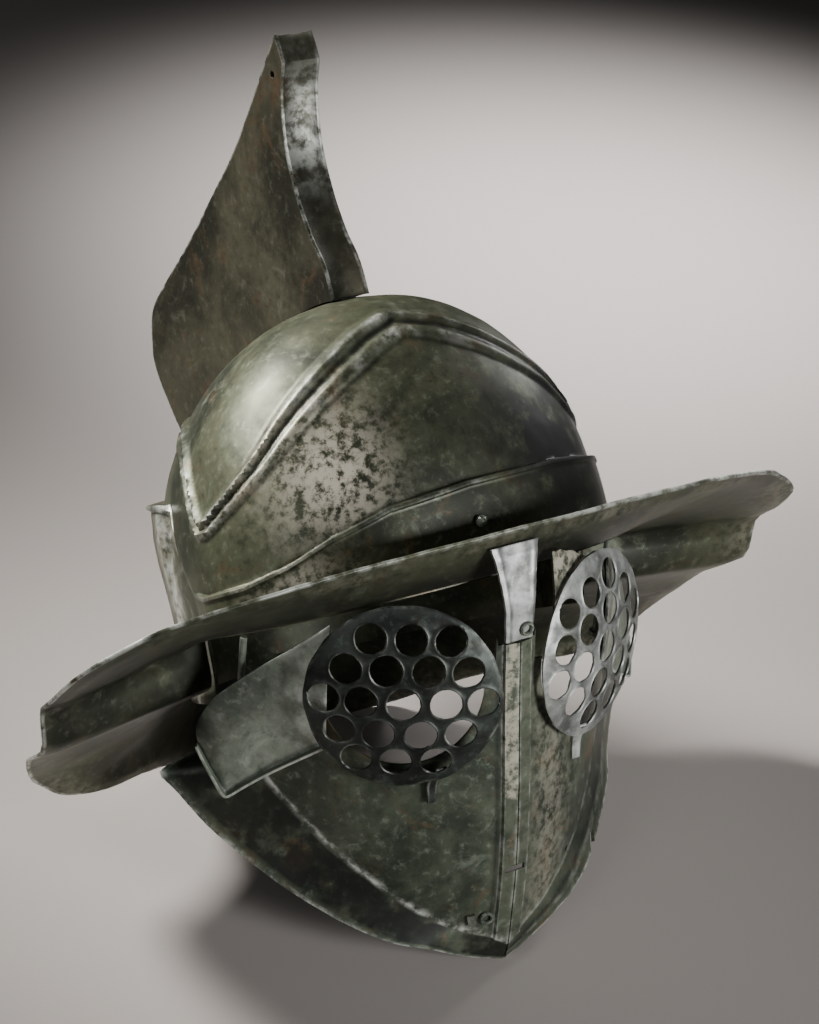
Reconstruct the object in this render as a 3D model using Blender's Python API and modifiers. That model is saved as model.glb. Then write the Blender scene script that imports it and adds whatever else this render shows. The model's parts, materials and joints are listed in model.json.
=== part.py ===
# A plain bronze gladiator helmet of the Pompeian kind, resting on its chin and its neck guard.
# Lengths are metres. The helmet is built upright in its own frame (x to the right of a viewer in
# front of it, y to the back, z up, brim level at z = 0) and is leaned back on the floor at the end.
import math

import bmesh
import bpy
from mathutils import Matrix, Vector

MM = 0.001
SHEET = 1.6 * MM  # hammered bronze sheet
THIN_SHEET = 1.3 * MM  # crest walls, grilles and temple plates
GAP = 0.35 * MM  # between pieces that only lie on each other
CREST_GAP = 0.9 * MM  # between the bowl and the crest's curved foot

# Bowl: egg-shaped in plan, with its widest section at y = 0.
BOWL_HALF_WIDTH = 108 * MM
BOWL_FRONT = 77 * MM
BOWL_BACK = 139 * MM
BOWL_HEIGHT = 127 * MM
BOWL_ROUNDNESS = 2.1
BROW_FULLNESS = 0.16  # how much rounder the front is than the back
BOWL_RIM_FRONT = -16 * MM
BOWL_RIM_BACK = -48 * MM
RIM_DROP_FROM = 93.0  # degrees from the nose where the rim starts to drop to the neck guard
RIM_DROP_OVER = 4.5
BAND_PROUD = 3.4 * MM
RIDGE_PROUD = 2.4 * MM
RIDGE_WIDTH = 10 * MM
RIDGE_STEP = 7  # degrees between its sections

# Brim with its wings and neck guard.
BRIM_HALF_WIDTH = 204 * MM
BRIM_FRONT = 108 * MM
BRIM_BACK = 168 * MM
BRIM_DROP = 86 * MM
BRIM_LIP = 9 * MM
BRIM_ROLL = 1.5 * MM

# Visor: two cheek plates that meet at a keel with a flat band on it. Its tables hold shares of
# VISOR_SPAN, with which the rear edge of a cheek plate lies under the bowl's rim.
VISOR_HEIGHT = 195 * MM
VISOR_REACH = 100 * MM
VISOR_SPAN = BOWL_HALF_WIDTH * 17 / 9
FLANGE_PAST = 8 * MM  # how far the flange reaches below the keel
FLANGE_DROP = VISOR_HEIGHT + FLANGE_PAST
KEEL_HALF = 7.5 * MM
KEEL_PROUD = 1.4 * MM
CHEEK_SLOPE = 0.38
CHEEK_CURVE = 4.5  # per metre, how far back the rear edge of a cheek plate lies
CHEEK_TURN = 3  # how late that turn comes
CHEEK_LEAST = 9 * MM
EYE_RADIUS = 38 * MM

# Eye grilles: round and domed, with nineteen holes in columns of 3, 4, 5, 4 and 3.
GRILLE_RADIUS = 46 * MM
GRILLE_STAND = 5.5 * MM
GRILLE_DOME = 8 * MM
GRILLE_ACROSS = 51 * MM
GRILLE_DOWN = 58 * MM
GRILLE_TILT = 20.5  # degrees
GRILLE_RINGS = (0.45, 0.78, 1.0)
HOLE_RADIUS = 7.7 * MM
HOLE_COLUMN = 17.6 * MM
HOLE_STEP = 18.6 * MM
HOLE_SQUEEZE = 0.07
HOLE_COLUMNS = (3, 4, 5, 4, 3)
TAB = (6 * MM, 15 * MM)  # width and length of the tab under a grille

# Small pieces.
NASAL_TOP = 2.6 * MM
NASAL_FOOT = 46.3 * MM
NASAL_HALF = 7.5 * MM
NASAL_FLARE = 5.5 * MM
NASAL_STAND = 1.5 * MM
RIVET_RADIUS = 3.0 * MM
RIVET_HEIGHT = 10 * MM
EYELET_RADIUS = 2.8 * MM
EYELET_WIRE = 0.9 * MM
EYELET_AT = (3.5 * MM, 41.5 * MM)  # across and down
STAPLE_AT = (19.0 * MM, VISOR_HEIGHT - 18 * MM)  # across and down
RING_AT = (12.0 * MM, VISOR_HEIGHT - 17 * MM)
KEEL_SLOT = (5.5 * MM, VISOR_HEIGHT - 38.5 * MM, 2.4 * MM)  # half length, down, height
CHEEK_HOLE = (45 * MM, VISOR_HEIGHT - 35 * MM, 1.6 * MM)  # across, down, radius
FLANGE_NICK = 2.6 * MM

# Hinge of a visor half, hidden behind its rear edge: a pin under the bowl's rim, upright when the
# helmet lies as it rests.
HINGE_IN = 3.4 * MM  # from the plate's rear edge
HINGE_BEHIND = 8 * MM  # behind the plate's outer face
HINGE_DOWN = 56 * MM
HINGE_BARREL = 3.2 * MM
HINGE_PIN = 1.7 * MM
BARREL_LENGTH = 15 * MM
PIN_HEAD = 2.6 * MM

# Crest: a hollow fin.
CREST_LENGTH = 210 * MM
CREST_HEIGHT = 135 * MM
CREST_THICK = 21 * MM
CREST_FOOT = (-9 * MM, 122 * MM)
CREST_HOLE = (-2 * MM, 240 * MM, 1.8 * MM)  # back, height, radius

# Brow band and nape band: angle from the nose in degrees, height of the top edge as a share of
# BOWL_HEIGHT, and how far it stands out as a share of BAND_PROUD.
BAND = (
    # angle, top, proud
    (-180, 0.38, 2.65),
    (-113, 0.38, 2.65),
    (-111, 0.36, 0.0),
    (-96, 0.05, 0.0),
    (-88, 0.03, 1.0),
    (-72, 0.045, 1.0),
    (-60, 0.085, 1.0),
    (-48, 0.145, 1.0),
    (-30, 0.205, 1.0),
    (0, 0.232, 1.0),
    (36, 0.232, 1.0),
    (66, 0.200, 1.0),
    (84, 0.150, 1.0),
    (92, 0.130, 0.0),
    (111, 0.36, 0.0),
    (113, 0.38, 2.65),
    (180, 0.38, 2.65),
)

# Raised ridge: angle from the nose, height share, half width as a share of RIDGE_WIDTH.
RIDGE = (
    # angle, height, width
    (0, 0.865, 1.0),
    (20, 0.820, 1.0),
    (36, 0.745, 0.95),
    (47, 0.667, 0.9),
    (57, 0.567, 0.8),
    (66, 0.445, 0.6),
    (76, 0.345, 0.5),
    (87, 0.270, 0.45),
    (93, 0.370, 0.5),
    (99, 0.470, 0.55),
    (108, 0.560, 0.6),
    (130, 0.650, 0.6),
    (169, 0.690, 0.6),
)

# Brim from the front round one side: angle on the bowl where the section starts, then its outer
# edge across, back and up as shares of the half width, of the front or the back reach and of the
# drop, and the height of its inner edge as a share of the drop.
BRIM = (
    # angle, across, back, up, inner
    (0, 0.0, -1.0, 0.05, -0.17),
    (14, 0.098, -0.991, 0.05, -0.17),
    (28, 0.196, -0.970, 0.05, -0.17),
    (44, 0.387, -0.922, 0.041, -0.17),
    (58, 0.593, -0.875, 0.028, -0.17),
    (68, 0.735, -0.815, 0.008, -0.17),
    (75, 0.830, -0.740, -0.020, -0.17),
    (81, 0.930, -0.600, -0.095, -0.17),
    (86, 1.005, -0.450, -0.185, -0.17),
    (89, 1.022, -0.280, -0.262, -0.17),
    (93, 1.010, -0.120, -0.314, -0.17),
    (97, 1.000, 0.014, -0.535, -0.44),
    (102, 0.978, 0.196, -0.585, -0.47),
    (109, 0.945, 0.320, -0.670, -0.49),
    (117, 0.895, 0.430, -0.770, -0.51),
    (125, 0.800, 0.500, -0.900, -0.53),
    (133, 0.690, 0.530, -0.935, -0.54),
    (141, 0.570, 0.585, -0.915, -0.55),
    (150, 0.470, 0.690, -0.930, -0.55),
    (160, 0.370, 0.860, -0.970, -0.55),
    (168, 0.300, 0.985, -1.0, -0.55),
    (174, 0.150, 1.0, -1.0, -0.55),
    (180, 0.0, 1.0, -1.0, -0.55),
)

# Keel: how far down it is (share of VISOR_HEIGHT) and how far forward (share of VISOR_REACH).
KEEL = (
    # down, forward
    (0.04, 1.03),
    (0.15, 0.97),
    (0.24, 0.885),
    (0.38, 0.760),
    (0.63, 0.545),
    (0.79, 0.390),
    (0.94, 0.215),
    (1.0, 0.140),
)

# Edge of a cheek plate from the chin to its rear corner, where the flange turns out, then the
# flange's outer edge: shares of VISOR_SPAN across, of FLANGE_DROP down and of VISOR_REACH
# back.
FLANGE = (
    # across, down, edge_across, edge_back, edge_down
    (0.0, 0.955, 0.0, -0.10, 1.0),
    (0.050, 0.928, 0.088, -0.10, 0.970),
    (0.103, 0.900, 0.191, -0.10, 0.921),
    (0.181, 0.847, 0.275, -0.05, 0.880),
    (0.255, 0.773, 0.348, 0.01, 0.823),
    (0.319, 0.695, 0.407, 0.07, 0.764),
    (0.368, 0.626, 0.475, 0.14, 0.685),
    (0.417, 0.542, 0.534, 0.24, 0.596),
    (0.446, 0.488, 0.603, 0.29, 0.488),
    (0.470, 0.440, 0.647, 0.29, 0.409),
    (0.485, 0.405, 0.676, 0.30, 0.362),
    (0.515, 0.345, 0.590, 0.25, 0.330),
)

# Rear edge of a cheek plate above the flange: across and down, in the same shares.
CHEEK_REAR = ((0.527, 0.300), (0.535, 0.220))

# Top edge of a cheek plate: across (share of VISOR_SPAN) and down (share of EYE_TOP, the top of
# the round eye opening). Nearer the keel than its first row the edge lies below the nasal band.
EYE_TOP = GRILLE_DOWN - EYE_RADIUS
CHEEK_TOP = (
    # across, down
    (0.075, 1.218),
    (0.105, 0.5075),
    (0.20, 0.670),
    (0.27, 0.954),
    (0.36, 1.1165),
    (0.44, 1.3195),
    (0.48, 1.472),
    (0.52, 1.878),
    (0.54, 2.182),
)
KEEL_TOP = (0.050, NASAL_FOOT + 0.8 * MM)  # across as a share of VISOR_SPAN, and down

# The eye opening of each side is open to the top edge between these distances across.
EYE_NOTCH = {-1: (11 * MM, 58 * MM), 1: (11 * MM, 25 * MM)}

# How far each grille is turned outwards and spun in its own plane, in degrees.
GRILLE_SET = {-1: (35.0, 12.0), 1: (26.0, 6.0)}

# Temple plate from its front edge to its rear edge: the top of each section, then its folded
# lower rim, across, back and down as shares of VISOR_SPAN, VISOR_REACH and FLANGE_DROP.
TEMPLE = (
    # top_across, top_back, top_down, foot_across, foot_back, foot_down
    (0.387, -0.598, 0.099, 0.392, -0.325, 0.365),
    (0.451, -0.423, 0.134, 0.441, -0.180, 0.384),
    (0.505, -0.270, 0.162, 0.490, -0.045, 0.404),
    (0.551, -0.150, 0.188, 0.534, 0.030, 0.421),
    (0.581, -0.070, 0.208, 0.569, 0.070, 0.433),
    (0.600, 0.000, 0.236, 0.588, 0.080, 0.384),
    (0.612, 0.055, 0.265, 0.607, 0.095, 0.305),
)
TEMPLE_CROWN = 1.5 * MM  # how far it bulges between its top and its foot
TEMPLE_FOLD = 3.4 * MM

# Colour, metallic value and roughness of each kind of finish.
FINISH = {
    "patina": ((0.105, 0.110, 0.070, 1), 0.75, 0.42),
    "tinned": ((0.42, 0.43, 0.41, 1), 0.7, 0.4),
    "dark": ((0.060, 0.066, 0.055, 1), 0.7, 0.5),
}


def between(table, key, column):
    """Straight-line value of a column of a table whose first column rises."""
    if key <= table[0][0]:
        return table[0][column]
    for low, high in zip(table, table[1:]):
        if key <= high[0]:
            share = (key - low[0]) / (high[0] - low[0])
            return low[column] + share * (high[column] - low[column])
    return table[-1][column]


def plan_radius(angle):
    """Distance from the axis to the bowl's widest outline at an angle from the nose."""
    turn = math.radians(angle)
    front = max(math.cos(turn), 0.0)
    deep = BOWL_FRONT if front else BOWL_BACK
    power = 2 + BROW_FULLNESS * min(3 * front, 1.0)
    side, ahead = abs(math.sin(turn)) / BOWL_HALF_WIDTH, abs(math.cos(turn)) / deep
    return (side**power + ahead**power) ** (-1 / power)


def bowl_point(angle, height, out=0.0):
    """A point of the bowl's outer face, moved outwards along the face by out."""
    share = min(max(height / BOWL_HEIGHT, 0.0), 1.0)
    turn = math.radians(angle)
    power = BOWL_ROUNDNESS + BROW_FULLNESS * max(math.cos(turn), 0.0)
    shrink = (1 - share**power) ** (1 / power)
    radius = plan_radius(angle)
    slope = (share / max(shrink, 0.02)) ** (power - 1)
    side, up = 1 / radius, slope / BOWL_HEIGHT
    length = math.hypot(side, up)
    reach = radius * shrink + out * side / length
    return Vector((reach * math.sin(turn), -reach * math.cos(turn), height + out * up / length))


def band_out(angle, height, top):
    """How far the brow band or the nape band stands out of the bowl at this height."""
    proud = between(BAND, angle, 2) * BAND_PROUD
    if proud > BAND_PROUD:
        proud *= min(max(height / top, 0.12), 1.0)
    return proud


def rim_height(angle):
    """Height of the bowl's lower rim: it drops behind the temples to meet the neck guard."""
    share = min(max((abs(angle) - RIM_DROP_FROM) / RIM_DROP_OVER, 0.0), 1.0)
    return BOWL_RIM_FRONT + share * (BOWL_RIM_BACK - BOWL_RIM_FRONT)


def keel_forward(down):
    return between(KEEL, down / VISOR_HEIGHT, 1) * VISOR_REACH


def cheek_width(down):
    """How wide a cheek plate is this far down."""
    rear = [(d, a) for a, d in reversed(CHEEK_REAR)]
    low = [(row[1], row[0]) for row in reversed(FLANGE)]
    wide = between(rear + low, down / FLANGE_DROP, 1) * VISOR_SPAN - KEEL_HALF
    return max(wide, CHEEK_LEAST)


def face_back(across, down):
    past = max(abs(across) - KEEL_HALF, 0.0)
    wide = cheek_width(down)
    turned = CHEEK_CURVE * wide**2 * (past / wide) ** CHEEK_TURN
    return -keel_forward(down) + CHEEK_SLOPE * past + turned


def face_normal(across, down):
    step = 0.5 * MM
    sideways = face_back(across + step, down) - face_back(across - step, down)
    lower = face_back(across, down + step) - face_back(across, down - step)
    if abs(across) <= KEEL_HALF:
        sideways = 0.0
    return Vector((sideways, -2 * step, -lower)).normalized()


def face_point(across, down, out=0.0):
    """A point of the visor's outer face at this distance across and down, moved outwards."""
    return Vector((across, face_back(across, down), -down)) + out * face_normal(across, down)


def material_for(name, kind):
    colour, metallic, roughness = FINISH[kind]
    made = bpy.data.materials.new(name + "_finish")
    made.use_nodes = True
    shader = made.node_tree.nodes["Principled BSDF"]
    shader.inputs["Base Color"].default_value = colour
    shader.inputs["Metallic"].default_value = metallic
    shader.inputs["Roughness"].default_value = roughness
    return made


def collection_for(name, hidden=False):
    made = bpy.data.collections.new(name)
    bpy.context.scene.collection.children.link(made)
    made.hide_render = hidden
    return made


def add_object(name, bm, home, kind=None, smooth=True):
    bmesh.ops.recalc_face_normals(bm, faces=bm.faces)
    mesh = bpy.data.meshes.new(name)
    bm.to_mesh(mesh)
    bm.free()
    if smooth:
        mesh.shade_smooth()
        mesh.set_sharp_from_angle(angle=math.radians(35))
    made = bpy.data.objects.new(name, mesh)
    home.objects.link(made)
    if kind:
        mesh.materials.append(material_for(name, kind))
    if home.hide_render:
        made.hide_render = True
        made.display_type = "WIRE"
    return made


def loft(rows, closed=False, cap=False):
    """Faces between rows of points. Closed joins each row's ends, cap fills the first and last."""
    bm = bmesh.new()
    grid = [[bm.verts.new(p) for p in row] for row in rows]
    count = len(grid[0])
    for low, high in zip(grid, grid[1:]):
        for i in range(count if closed else count - 1):
            j = (i + 1) % count
            bm.faces.new((low[i], low[j], high[j], high[i]))
    if cap:
        bm.faces.new(list(reversed(grid[0])))
        bm.faces.new(grid[-1])
    return bm


def close_top(bm, count, apex):
    """Joins the last row of a closed loft to one point."""
    bm.verts.ensure_lookup_table()
    ring = bm.verts[-count:]
    tip = bm.verts.new(apex)
    for i in range(count):
        bm.faces.new((ring[i], ring[(i + 1) % count], tip))


def solidify(made, thickness, offset=-1):
    mod = made.modifiers.new("sheet", "SOLIDIFY")
    mod.thickness = thickness
    mod.offset = offset
    mod.use_quality_normals = True


def cut(made, cutter, operation="DIFFERENCE"):
    mod = made.modifiers.new(cutter.name, "BOOLEAN")
    mod.operation = operation
    mod.solver = "EXACT"
    mod.object = cutter


def prism(name, outline, half_depth, home, kind=None):
    """A plate from an outline in the y-z plane, half_depth to each side of x = 0."""
    rows = [[Vector((x, y, z)) for y, z in outline] for x in (-half_depth, half_depth)]
    return add_object(name, loft(rows, closed=True, cap=True), home, kind, smooth=False)


def inset(outline, by):
    """The outline of a flat shape moved inwards by a distance, corner by corner."""
    area = sum(a[0] * b[1] - b[0] * a[1] for a, b in zip(outline, outline[1:] + outline[:1]))
    sign = 1 if area > 0 else -1
    moved = []
    for i, here in enumerate(outline):
        before, after = outline[i - 1], outline[(i + 1) % len(outline)]
        one = Vector((here[0] - before[0], here[1] - before[1])).normalized()
        two = Vector((after[0] - here[0], after[1] - here[1])).normalized()
        normal = (Vector((-one.y, one.x)) + Vector((-two.y, two.x))).normalized() * sign
        grow = by / max(normal.dot(Vector((-one.y, one.x)) * sign), 0.35)
        moved.append((here[0] + normal.x * grow, here[1] + normal.y * grow))
    return moved


def rod(name, start, end, radius, home, kind=None, sides=12):
    """A plain round rod from one point to another."""
    along = end - start
    bm = bmesh.new()
    place = Matrix.Translation((start + end) / 2) @ along.to_track_quat("Z", "Y").to_matrix().to_4x4()
    bmesh.ops.create_cone(
        bm, cap_ends=True, segments=sides, radius1=radius, radius2=radius, depth=along.length, matrix=place
    )
    return add_object(name, bm, home, kind)


def ring(name, middle, axis, radius, wire, home, kind, sides=14, wire_sides=6):
    """A closed wire ring round an axis."""
    turned = axis.to_track_quat("Z", "Y")
    rows = []
    for i in range(sides):
        turn = 2 * math.pi * i / sides
        row = []
        for j in range(wire_sides):
            round_wire = 2 * math.pi * j / wire_sides
            reach = radius + wire * math.cos(round_wire)
            here = Vector((reach * math.cos(turn), reach * math.sin(turn), wire * math.sin(round_wire)))
            row.append(middle + turned @ here)
        rows.append(row)
    return add_object(name, loft(rows + rows[:1], closed=True), home, kind)


def bowl_angles():
    """Angles of the bowl's and the brim's sections, closer together where the bands end."""
    steps = set(range(-176, 177, 8)) - {-112, -96, 96, 112}
    return sorted(steps | {-113, -111, -97, -93, 93, 97, 111, 113, 180})


def build_bowl(home, tools):
    angles = bowl_angles()
    rows = []
    band_rows, dome_rows = 3, 9
    for i in range(band_rows + 1):
        row = []
        for angle in angles:
            top = between(BAND, angle, 1) * BOWL_HEIGHT
            low = rim_height(angle)
            height = low + (top - low) * i / band_rows
            row.append(bowl_point(angle, height, band_out(angle, height, top)))
        rows.append(row)
    for i in range(dome_rows):
        row = []
        for angle in angles:
            start = math.asin(between(BAND, angle, 1) + 0.012)
            height = BOWL_HEIGHT * math.sin(start + (math.pi / 2 - start) * i / dome_rows)
            row.append(bowl_point(angle, height))
        rows.append(row)
    bm = loft(rows, closed=True)
    close_top(bm, len(angles), (0, 0, BOWL_HEIGHT))
    bowl = add_object("bowl", bm, home, "patina")
    solidify(bowl, SHEET)
    cut(bowl, build_ridge(tools), "UNION")


def build_ridge(tools):
    """The raised double-V ridge as one strip over the brow and back past the temples."""
    last = RIDGE[-1][0]
    corners = {round(row[0] * sign) for row in RIDGE for sign in (-1, 1)}
    spots = sorted(corners | {a for a in range(-last, last, RIDGE_STEP)})
    spots = [a for a in spots if a in corners or min(abs(a - c) for c in corners) > RIDGE_STEP / 2]
    centre = [(a, between(RIDGE, abs(a), 1), between(RIDGE, abs(a), 2)) for a in spots]
    middle = [bowl_point(a, h * BOWL_HEIGHT) for a, h, _ in centre]
    rows = []
    for i, (angle, height, width) in enumerate(centre):
        normal = (bowl_point(angle, height * BOWL_HEIGHT, MM) - middle[i]).normalized()
        ahead = middle[min(i + 1, len(middle) - 1)] - middle[max(i - 1, 0)]
        side = normal.cross(ahead).normalized() * width * RIDGE_WIDTH
        low, high = -SHEET / 2, RIDGE_PROUD
        rows.append([
            middle[i] - side + normal * low,
            middle[i] - side * 0.8 + normal * high * 0.6,
            middle[i] + side * 0.6 + normal * high,
            middle[i] + side + normal * low,
        ])
    return add_object("ridge_tool", loft(rows, closed=True, cap=True), tools)


def brim_section(angle):
    """Points of the brim from the bowl to its outer edge at an angle from the nose."""
    across, back, up, inner = (between(BRIM, abs(angle), c) for c in (1, 2, 3, 4))
    height = inner * BRIM_DROP
    top = between(BAND, angle, 1) * BOWL_HEIGHT
    start = bowl_point(angle, 0.0, band_out(angle, height, top) + SHEET / 2 + GAP)
    start.z = height
    reach = BRIM_FRONT if back < 0 else BRIM_BACK
    end = Vector((math.copysign(across, angle) * BRIM_HALF_WIDTH, back * reach, up * BRIM_DROP))
    lip = min(BRIM_LIP / (end - start).length, 0.4)
    crease = start.lerp(end, 1 - lip)
    crease.z -= BRIM_ROLL
    return [start, start.lerp(end, 0.33), start.lerp(end, 0.64), crease, end]


def build_brim(home):
    sections = [brim_section(angle) for angle in bowl_angles()]
    rows = [list(row) for row in zip(*sections)]
    brim = add_object("brim", loft(rows, closed=True), home, "patina")
    solidify(brim, SHEET, offset=0)


def crest_outline():
    front, foot = CREST_FOOT
    shares = (
        # back, up
        (0.0, -0.25),
        (0.0, 0.12),
        (0.033, 0.28),
        (0.052, 0.43),
        (0.052, 0.61),
        (0.019, 0.785),
        (-0.024, 0.895),
        (-0.016, 1.0),
        (0.100, 0.880),
        (0.286, 0.690),
        (0.460, 0.555),
        (0.638, 0.422),
        (0.819, 0.304),
        (0.924, 0.222),
        (0.971, 0.104),
        (0.986, -0.022),
        (0.929, -0.274),
        (0.830, -0.530),
        (0.705, -0.720),
        (0.500, -0.600),
    )
    return [(front + b * CREST_LENGTH, foot + u * CREST_HEIGHT) for b, u in shares]


def build_bowl_tool(tools):
    """The bowl as a filled body, a little larger, that the crest is cut to."""
    angles = range(-180, 180, 8)
    proud = max(row[2] for row in BAND) * BAND_PROUD
    top = BAND[0][1] * BOWL_HEIGHT + CREST_GAP
    rows = [[bowl_point(a, 0.0, CREST_GAP + proud) + Vector((0, 0, BOWL_RIM_BACK)) for a in angles]]
    for share in (0.0, 0.5, 0.8, 1.0):
        rows.append([bowl_point(a, share * top, CREST_GAP + proud) for a in angles])
    steps = 12
    start = math.asin(top / BOWL_HEIGHT) + 0.01
    for i in range(steps):
        height = BOWL_HEIGHT * math.sin(start + (math.pi / 2 - start) * i / steps)
        rows.append([bowl_point(a, height, CREST_GAP) for a in angles])
    bm = loft(rows, closed=True)
    close_top(bm, len(angles), (0, 0, BOWL_HEIGHT + CREST_GAP))
    bm.verts.ensure_lookup_table()
    bm.faces.new(bm.verts[:len(angles)])
    return add_object("bowl_tool", bm, tools)


def build_crest(home, tools):
    crest = prism("crest", crest_outline(), CREST_THICK / 2, home, "patina")
    inner = inset(crest_outline(), THIN_SHEET)
    cut(crest, prism("crest_hollow_tool", inner, CREST_THICK / 2 - THIN_SHEET, tools))
    cut(crest, build_bowl_tool(tools))
    back, height, radius = CREST_HOLE
    ends = [Vector((side * CREST_THICK, back, height)) for side in (-1, 1)]
    cut(crest, rod("crest_hole_tool", *ends, radius, tools, sides=12))


def build_brow_rivet(home):
    """A low round rivet head on the brow band."""
    foot = bowl_point(0, RIVET_HEIGHT, BAND_PROUD + GAP)
    out = (bowl_point(0, RIVET_HEIGHT, MM) - bowl_point(0, RIVET_HEIGHT)).normalized()
    place = Matrix.Translation(foot) @ out.to_track_quat("Z", "Y").to_matrix().to_4x4()
    bm = bmesh.new()
    bmesh.ops.create_uvsphere(bm, u_segments=12, v_segments=8, radius=RIVET_RADIUS, matrix=place)
    flat = {"plane_co": foot, "plane_no": out, "clear_inner": True}
    bmesh.ops.bisect_plane(bm, geom=bm.verts[:] + bm.edges[:] + bm.faces[:], dist=1e-6, **flat)
    bmesh.ops.holes_fill(bm, edges=[e for e in bm.edges if e.is_boundary], sides=0)
    add_object("brow_rivet", bm, home, "tinned")


def build_nasal_band(home):
    """A flat band from under the brim to the upper end of the keel, wider at its top."""
    steps = 6
    rows = []
    for i in range(steps + 1):
        down = NASAL_TOP + (NASAL_FOOT - NASAL_TOP) * i / steps
        half = NASAL_HALF + NASAL_FLARE * (1 - i / steps) ** 2
        middle = face_point(0.0, down, NASAL_STAND)
        rows.append([middle + Vector((half * s, 0, 0)) for s in (-1, -0.5, 0, 0.5, 1)])
    band = add_object("nasal_band", loft(rows), home, "tinned")
    solidify(band, SHEET)


def build_nasal_eyelet(home):
    across, down = EYELET_AT
    out = NASAL_STAND + GAP + EYELET_WIRE
    middle = face_point(0.0, down, out) + Vector((across, 0, 0))
    ring("nasal_eyelet", middle, face_normal(0.0, down), EYELET_RADIUS, EYELET_WIRE, home, "tinned")


def cheek_sections():
    """Distances across of a cheek plate's sections, from the keel to its rear edge."""
    edge = KEEL_HALF + KEEL_PROUD / 3
    inner = [GAP, KEEL_HALF / 2, KEEL_HALF - KEEL_PROUD / 3, edge]
    outer = [row[0] * VISOR_SPAN for row in FLANGE[1:]]
    filled = []
    for low, high in zip(outer, outer[1:]):
        filled += [low, (low + high) / 2] if high - low > 8 * MM else [low]
    return inner + filled + [outer[-1]] + [a * VISOR_SPAN for a, _ in CHEEK_REAR]


def cheek_top(across):
    upper = [(a, d * EYE_TOP) for a, d in CHEEK_TOP]
    return between([KEEL_TOP] + upper, across / VISOR_SPAN, 1)


def cheek_low(across):
    share = across / VISOR_SPAN
    table = list(FLANGE) + [(a, d, 0, 0, 0) for a, d in CHEEK_REAR]
    return between(table, share, 1) * FLANGE_DROP


def build_cheek(side, home, tools):
    name = "cheek_plate_left" if side < 0 else "cheek_plate_right"
    steps = 8
    last_with_flange = FLANGE[-1][0] * VISOR_SPAN + MM
    bm = bmesh.new()
    before = None
    for across in cheek_sections():
        top = cheek_top(across)
        low = cheek_low(across)
        out = KEEL_PROUD if across < KEEL_HALF else 0.0
        points = [face_point(side * across, top + (low - top) * i / steps, out) for i in range(steps + 1)]
        if across < last_with_flange:
            share = across / VISOR_SPAN
            x, back, down = (between(FLANGE, share, c) for c in (2, 3, 4))
            x = max(x * VISOR_SPAN, GAP)
            edge = Vector((side * x, back * VISOR_REACH, -down * FLANGE_DROP))
            points += [points[-1].lerp(edge, s) for s in (0.5, 1.0)]
        here = [bm.verts.new(p) for p in points]
        for i in range(min(len(before or here), len(here)) - 1 if before else 0):
            bm.faces.new((before[i], before[i + 1], here[i + 1], here[i]))
        before = here
    cheek = add_object(name, bm, home, "patina")
    solidify(cheek, SHEET)
    cut(cheek, build_eye_tool(side, tools))
    cut(cheek, build_slot_tool(side, tools))
    if side > 0:
        add_right_holes(cheek, tools)
    cut(cheek, build_barrel_tool(side, tools), "UNION")
    cut(cheek, build_bore_tool(side, tools))


def build_eye_tool(side, tools):
    """A round opening behind the grille that runs up through the plate's top edge."""
    normal = face_normal(side * GRILLE_ACROSS, GRILLE_DOWN)
    middle = face_point(side * GRILLE_ACROSS, GRILLE_DOWN)
    low, high = (middle + normal * out * EYE_RADIUS for out in (-1, 1))
    tool = rod(f"eye_tool_{side}", low, high, EYE_RADIUS, tools, sides=24)
    inner, outer = EYE_NOTCH[side]
    top, foot = 0.0, -GRILLE_DOWN
    width, height = outer - inner, top - foot
    place = Matrix.Translation((side * (inner + outer) / 2, -VISOR_REACH * 0.8, (top + foot) / 2))
    bm = bmesh.new()
    bmesh.ops.create_cube(bm, size=1, matrix=place @ Matrix.Diagonal((width, VISOR_REACH, height, 1)))
    notch = add_object(f"eye_notch_tool_{side}", bm, tools, smooth=False)
    cut(tool, notch, "UNION")
    return tool


def build_slot_tool(side, tools):
    """A slot across the keel band."""
    half, down, height = KEEL_SLOT
    middle = face_point(0.0, down)
    place = Matrix.Translation(middle) @ Matrix.Diagonal((2 * half, 12 * SHEET, height, 1))
    bm = bmesh.new()
    bmesh.ops.create_cube(bm, size=1, matrix=place)
    return add_object(f"slot_tool_{side}", bm, tools, smooth=False)


def add_right_holes(cheek, tools):
    """A small hole in the right cheek plate and a nick in its flange."""
    across, down, radius = CHEEK_HOLE
    ends = [face_point(across, down, out) for out in (-6 * SHEET, 6 * SHEET)]
    cut(cheek, rod("cheek_hole_tool", *ends, radius, tools, sides=12))
    _, _, x, back, down = FLANGE[4]
    edge = Vector((x * VISOR_SPAN, back * VISOR_REACH, -down * FLANGE_DROP))
    rise = Vector((0, 0, 5 * SHEET))
    cut(cheek, rod("flange_nick_tool", edge - rise, edge + rise, FLANGE_NICK, tools, sides=10))


def lean_angle():
    """How far the helmet leans back when its chin and the rear of its neck guard touch the floor."""
    chin_back = FLANGE[0][3] * VISOR_REACH
    return math.atan2(FLANGE_DROP - BRIM_DROP, BRIM_BACK - chin_back)


def hinge_axis():
    """Direction of the hinges in the helmet's own frame: upright once the helmet is leaned."""
    return Vector((0, -math.sin(lean_angle()), math.cos(lean_angle())))


def hinge_point(side, up=0.0):
    across = cheek_width(HINGE_DOWN) + KEEL_HALF - HINGE_IN
    back = face_back(across, HINGE_DOWN) + HINGE_BEHIND
    return Vector((side * across, back, -HINGE_DOWN)) + up * hinge_axis()


def build_barrel_tool(side, tools):
    ends = [hinge_point(side, up) for up in (-BARREL_LENGTH / 2, BARREL_LENGTH / 2)]
    return rod(f"barrel_tool_{side}", *ends, HINGE_BARREL, tools)


def build_bore_tool(side, tools):
    ends = [hinge_point(side, up) for up in (-BARREL_LENGTH, HINGE_DOWN)]
    return rod(f"bore_tool_{side}", *ends, HINGE_PIN + GAP, tools)


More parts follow.
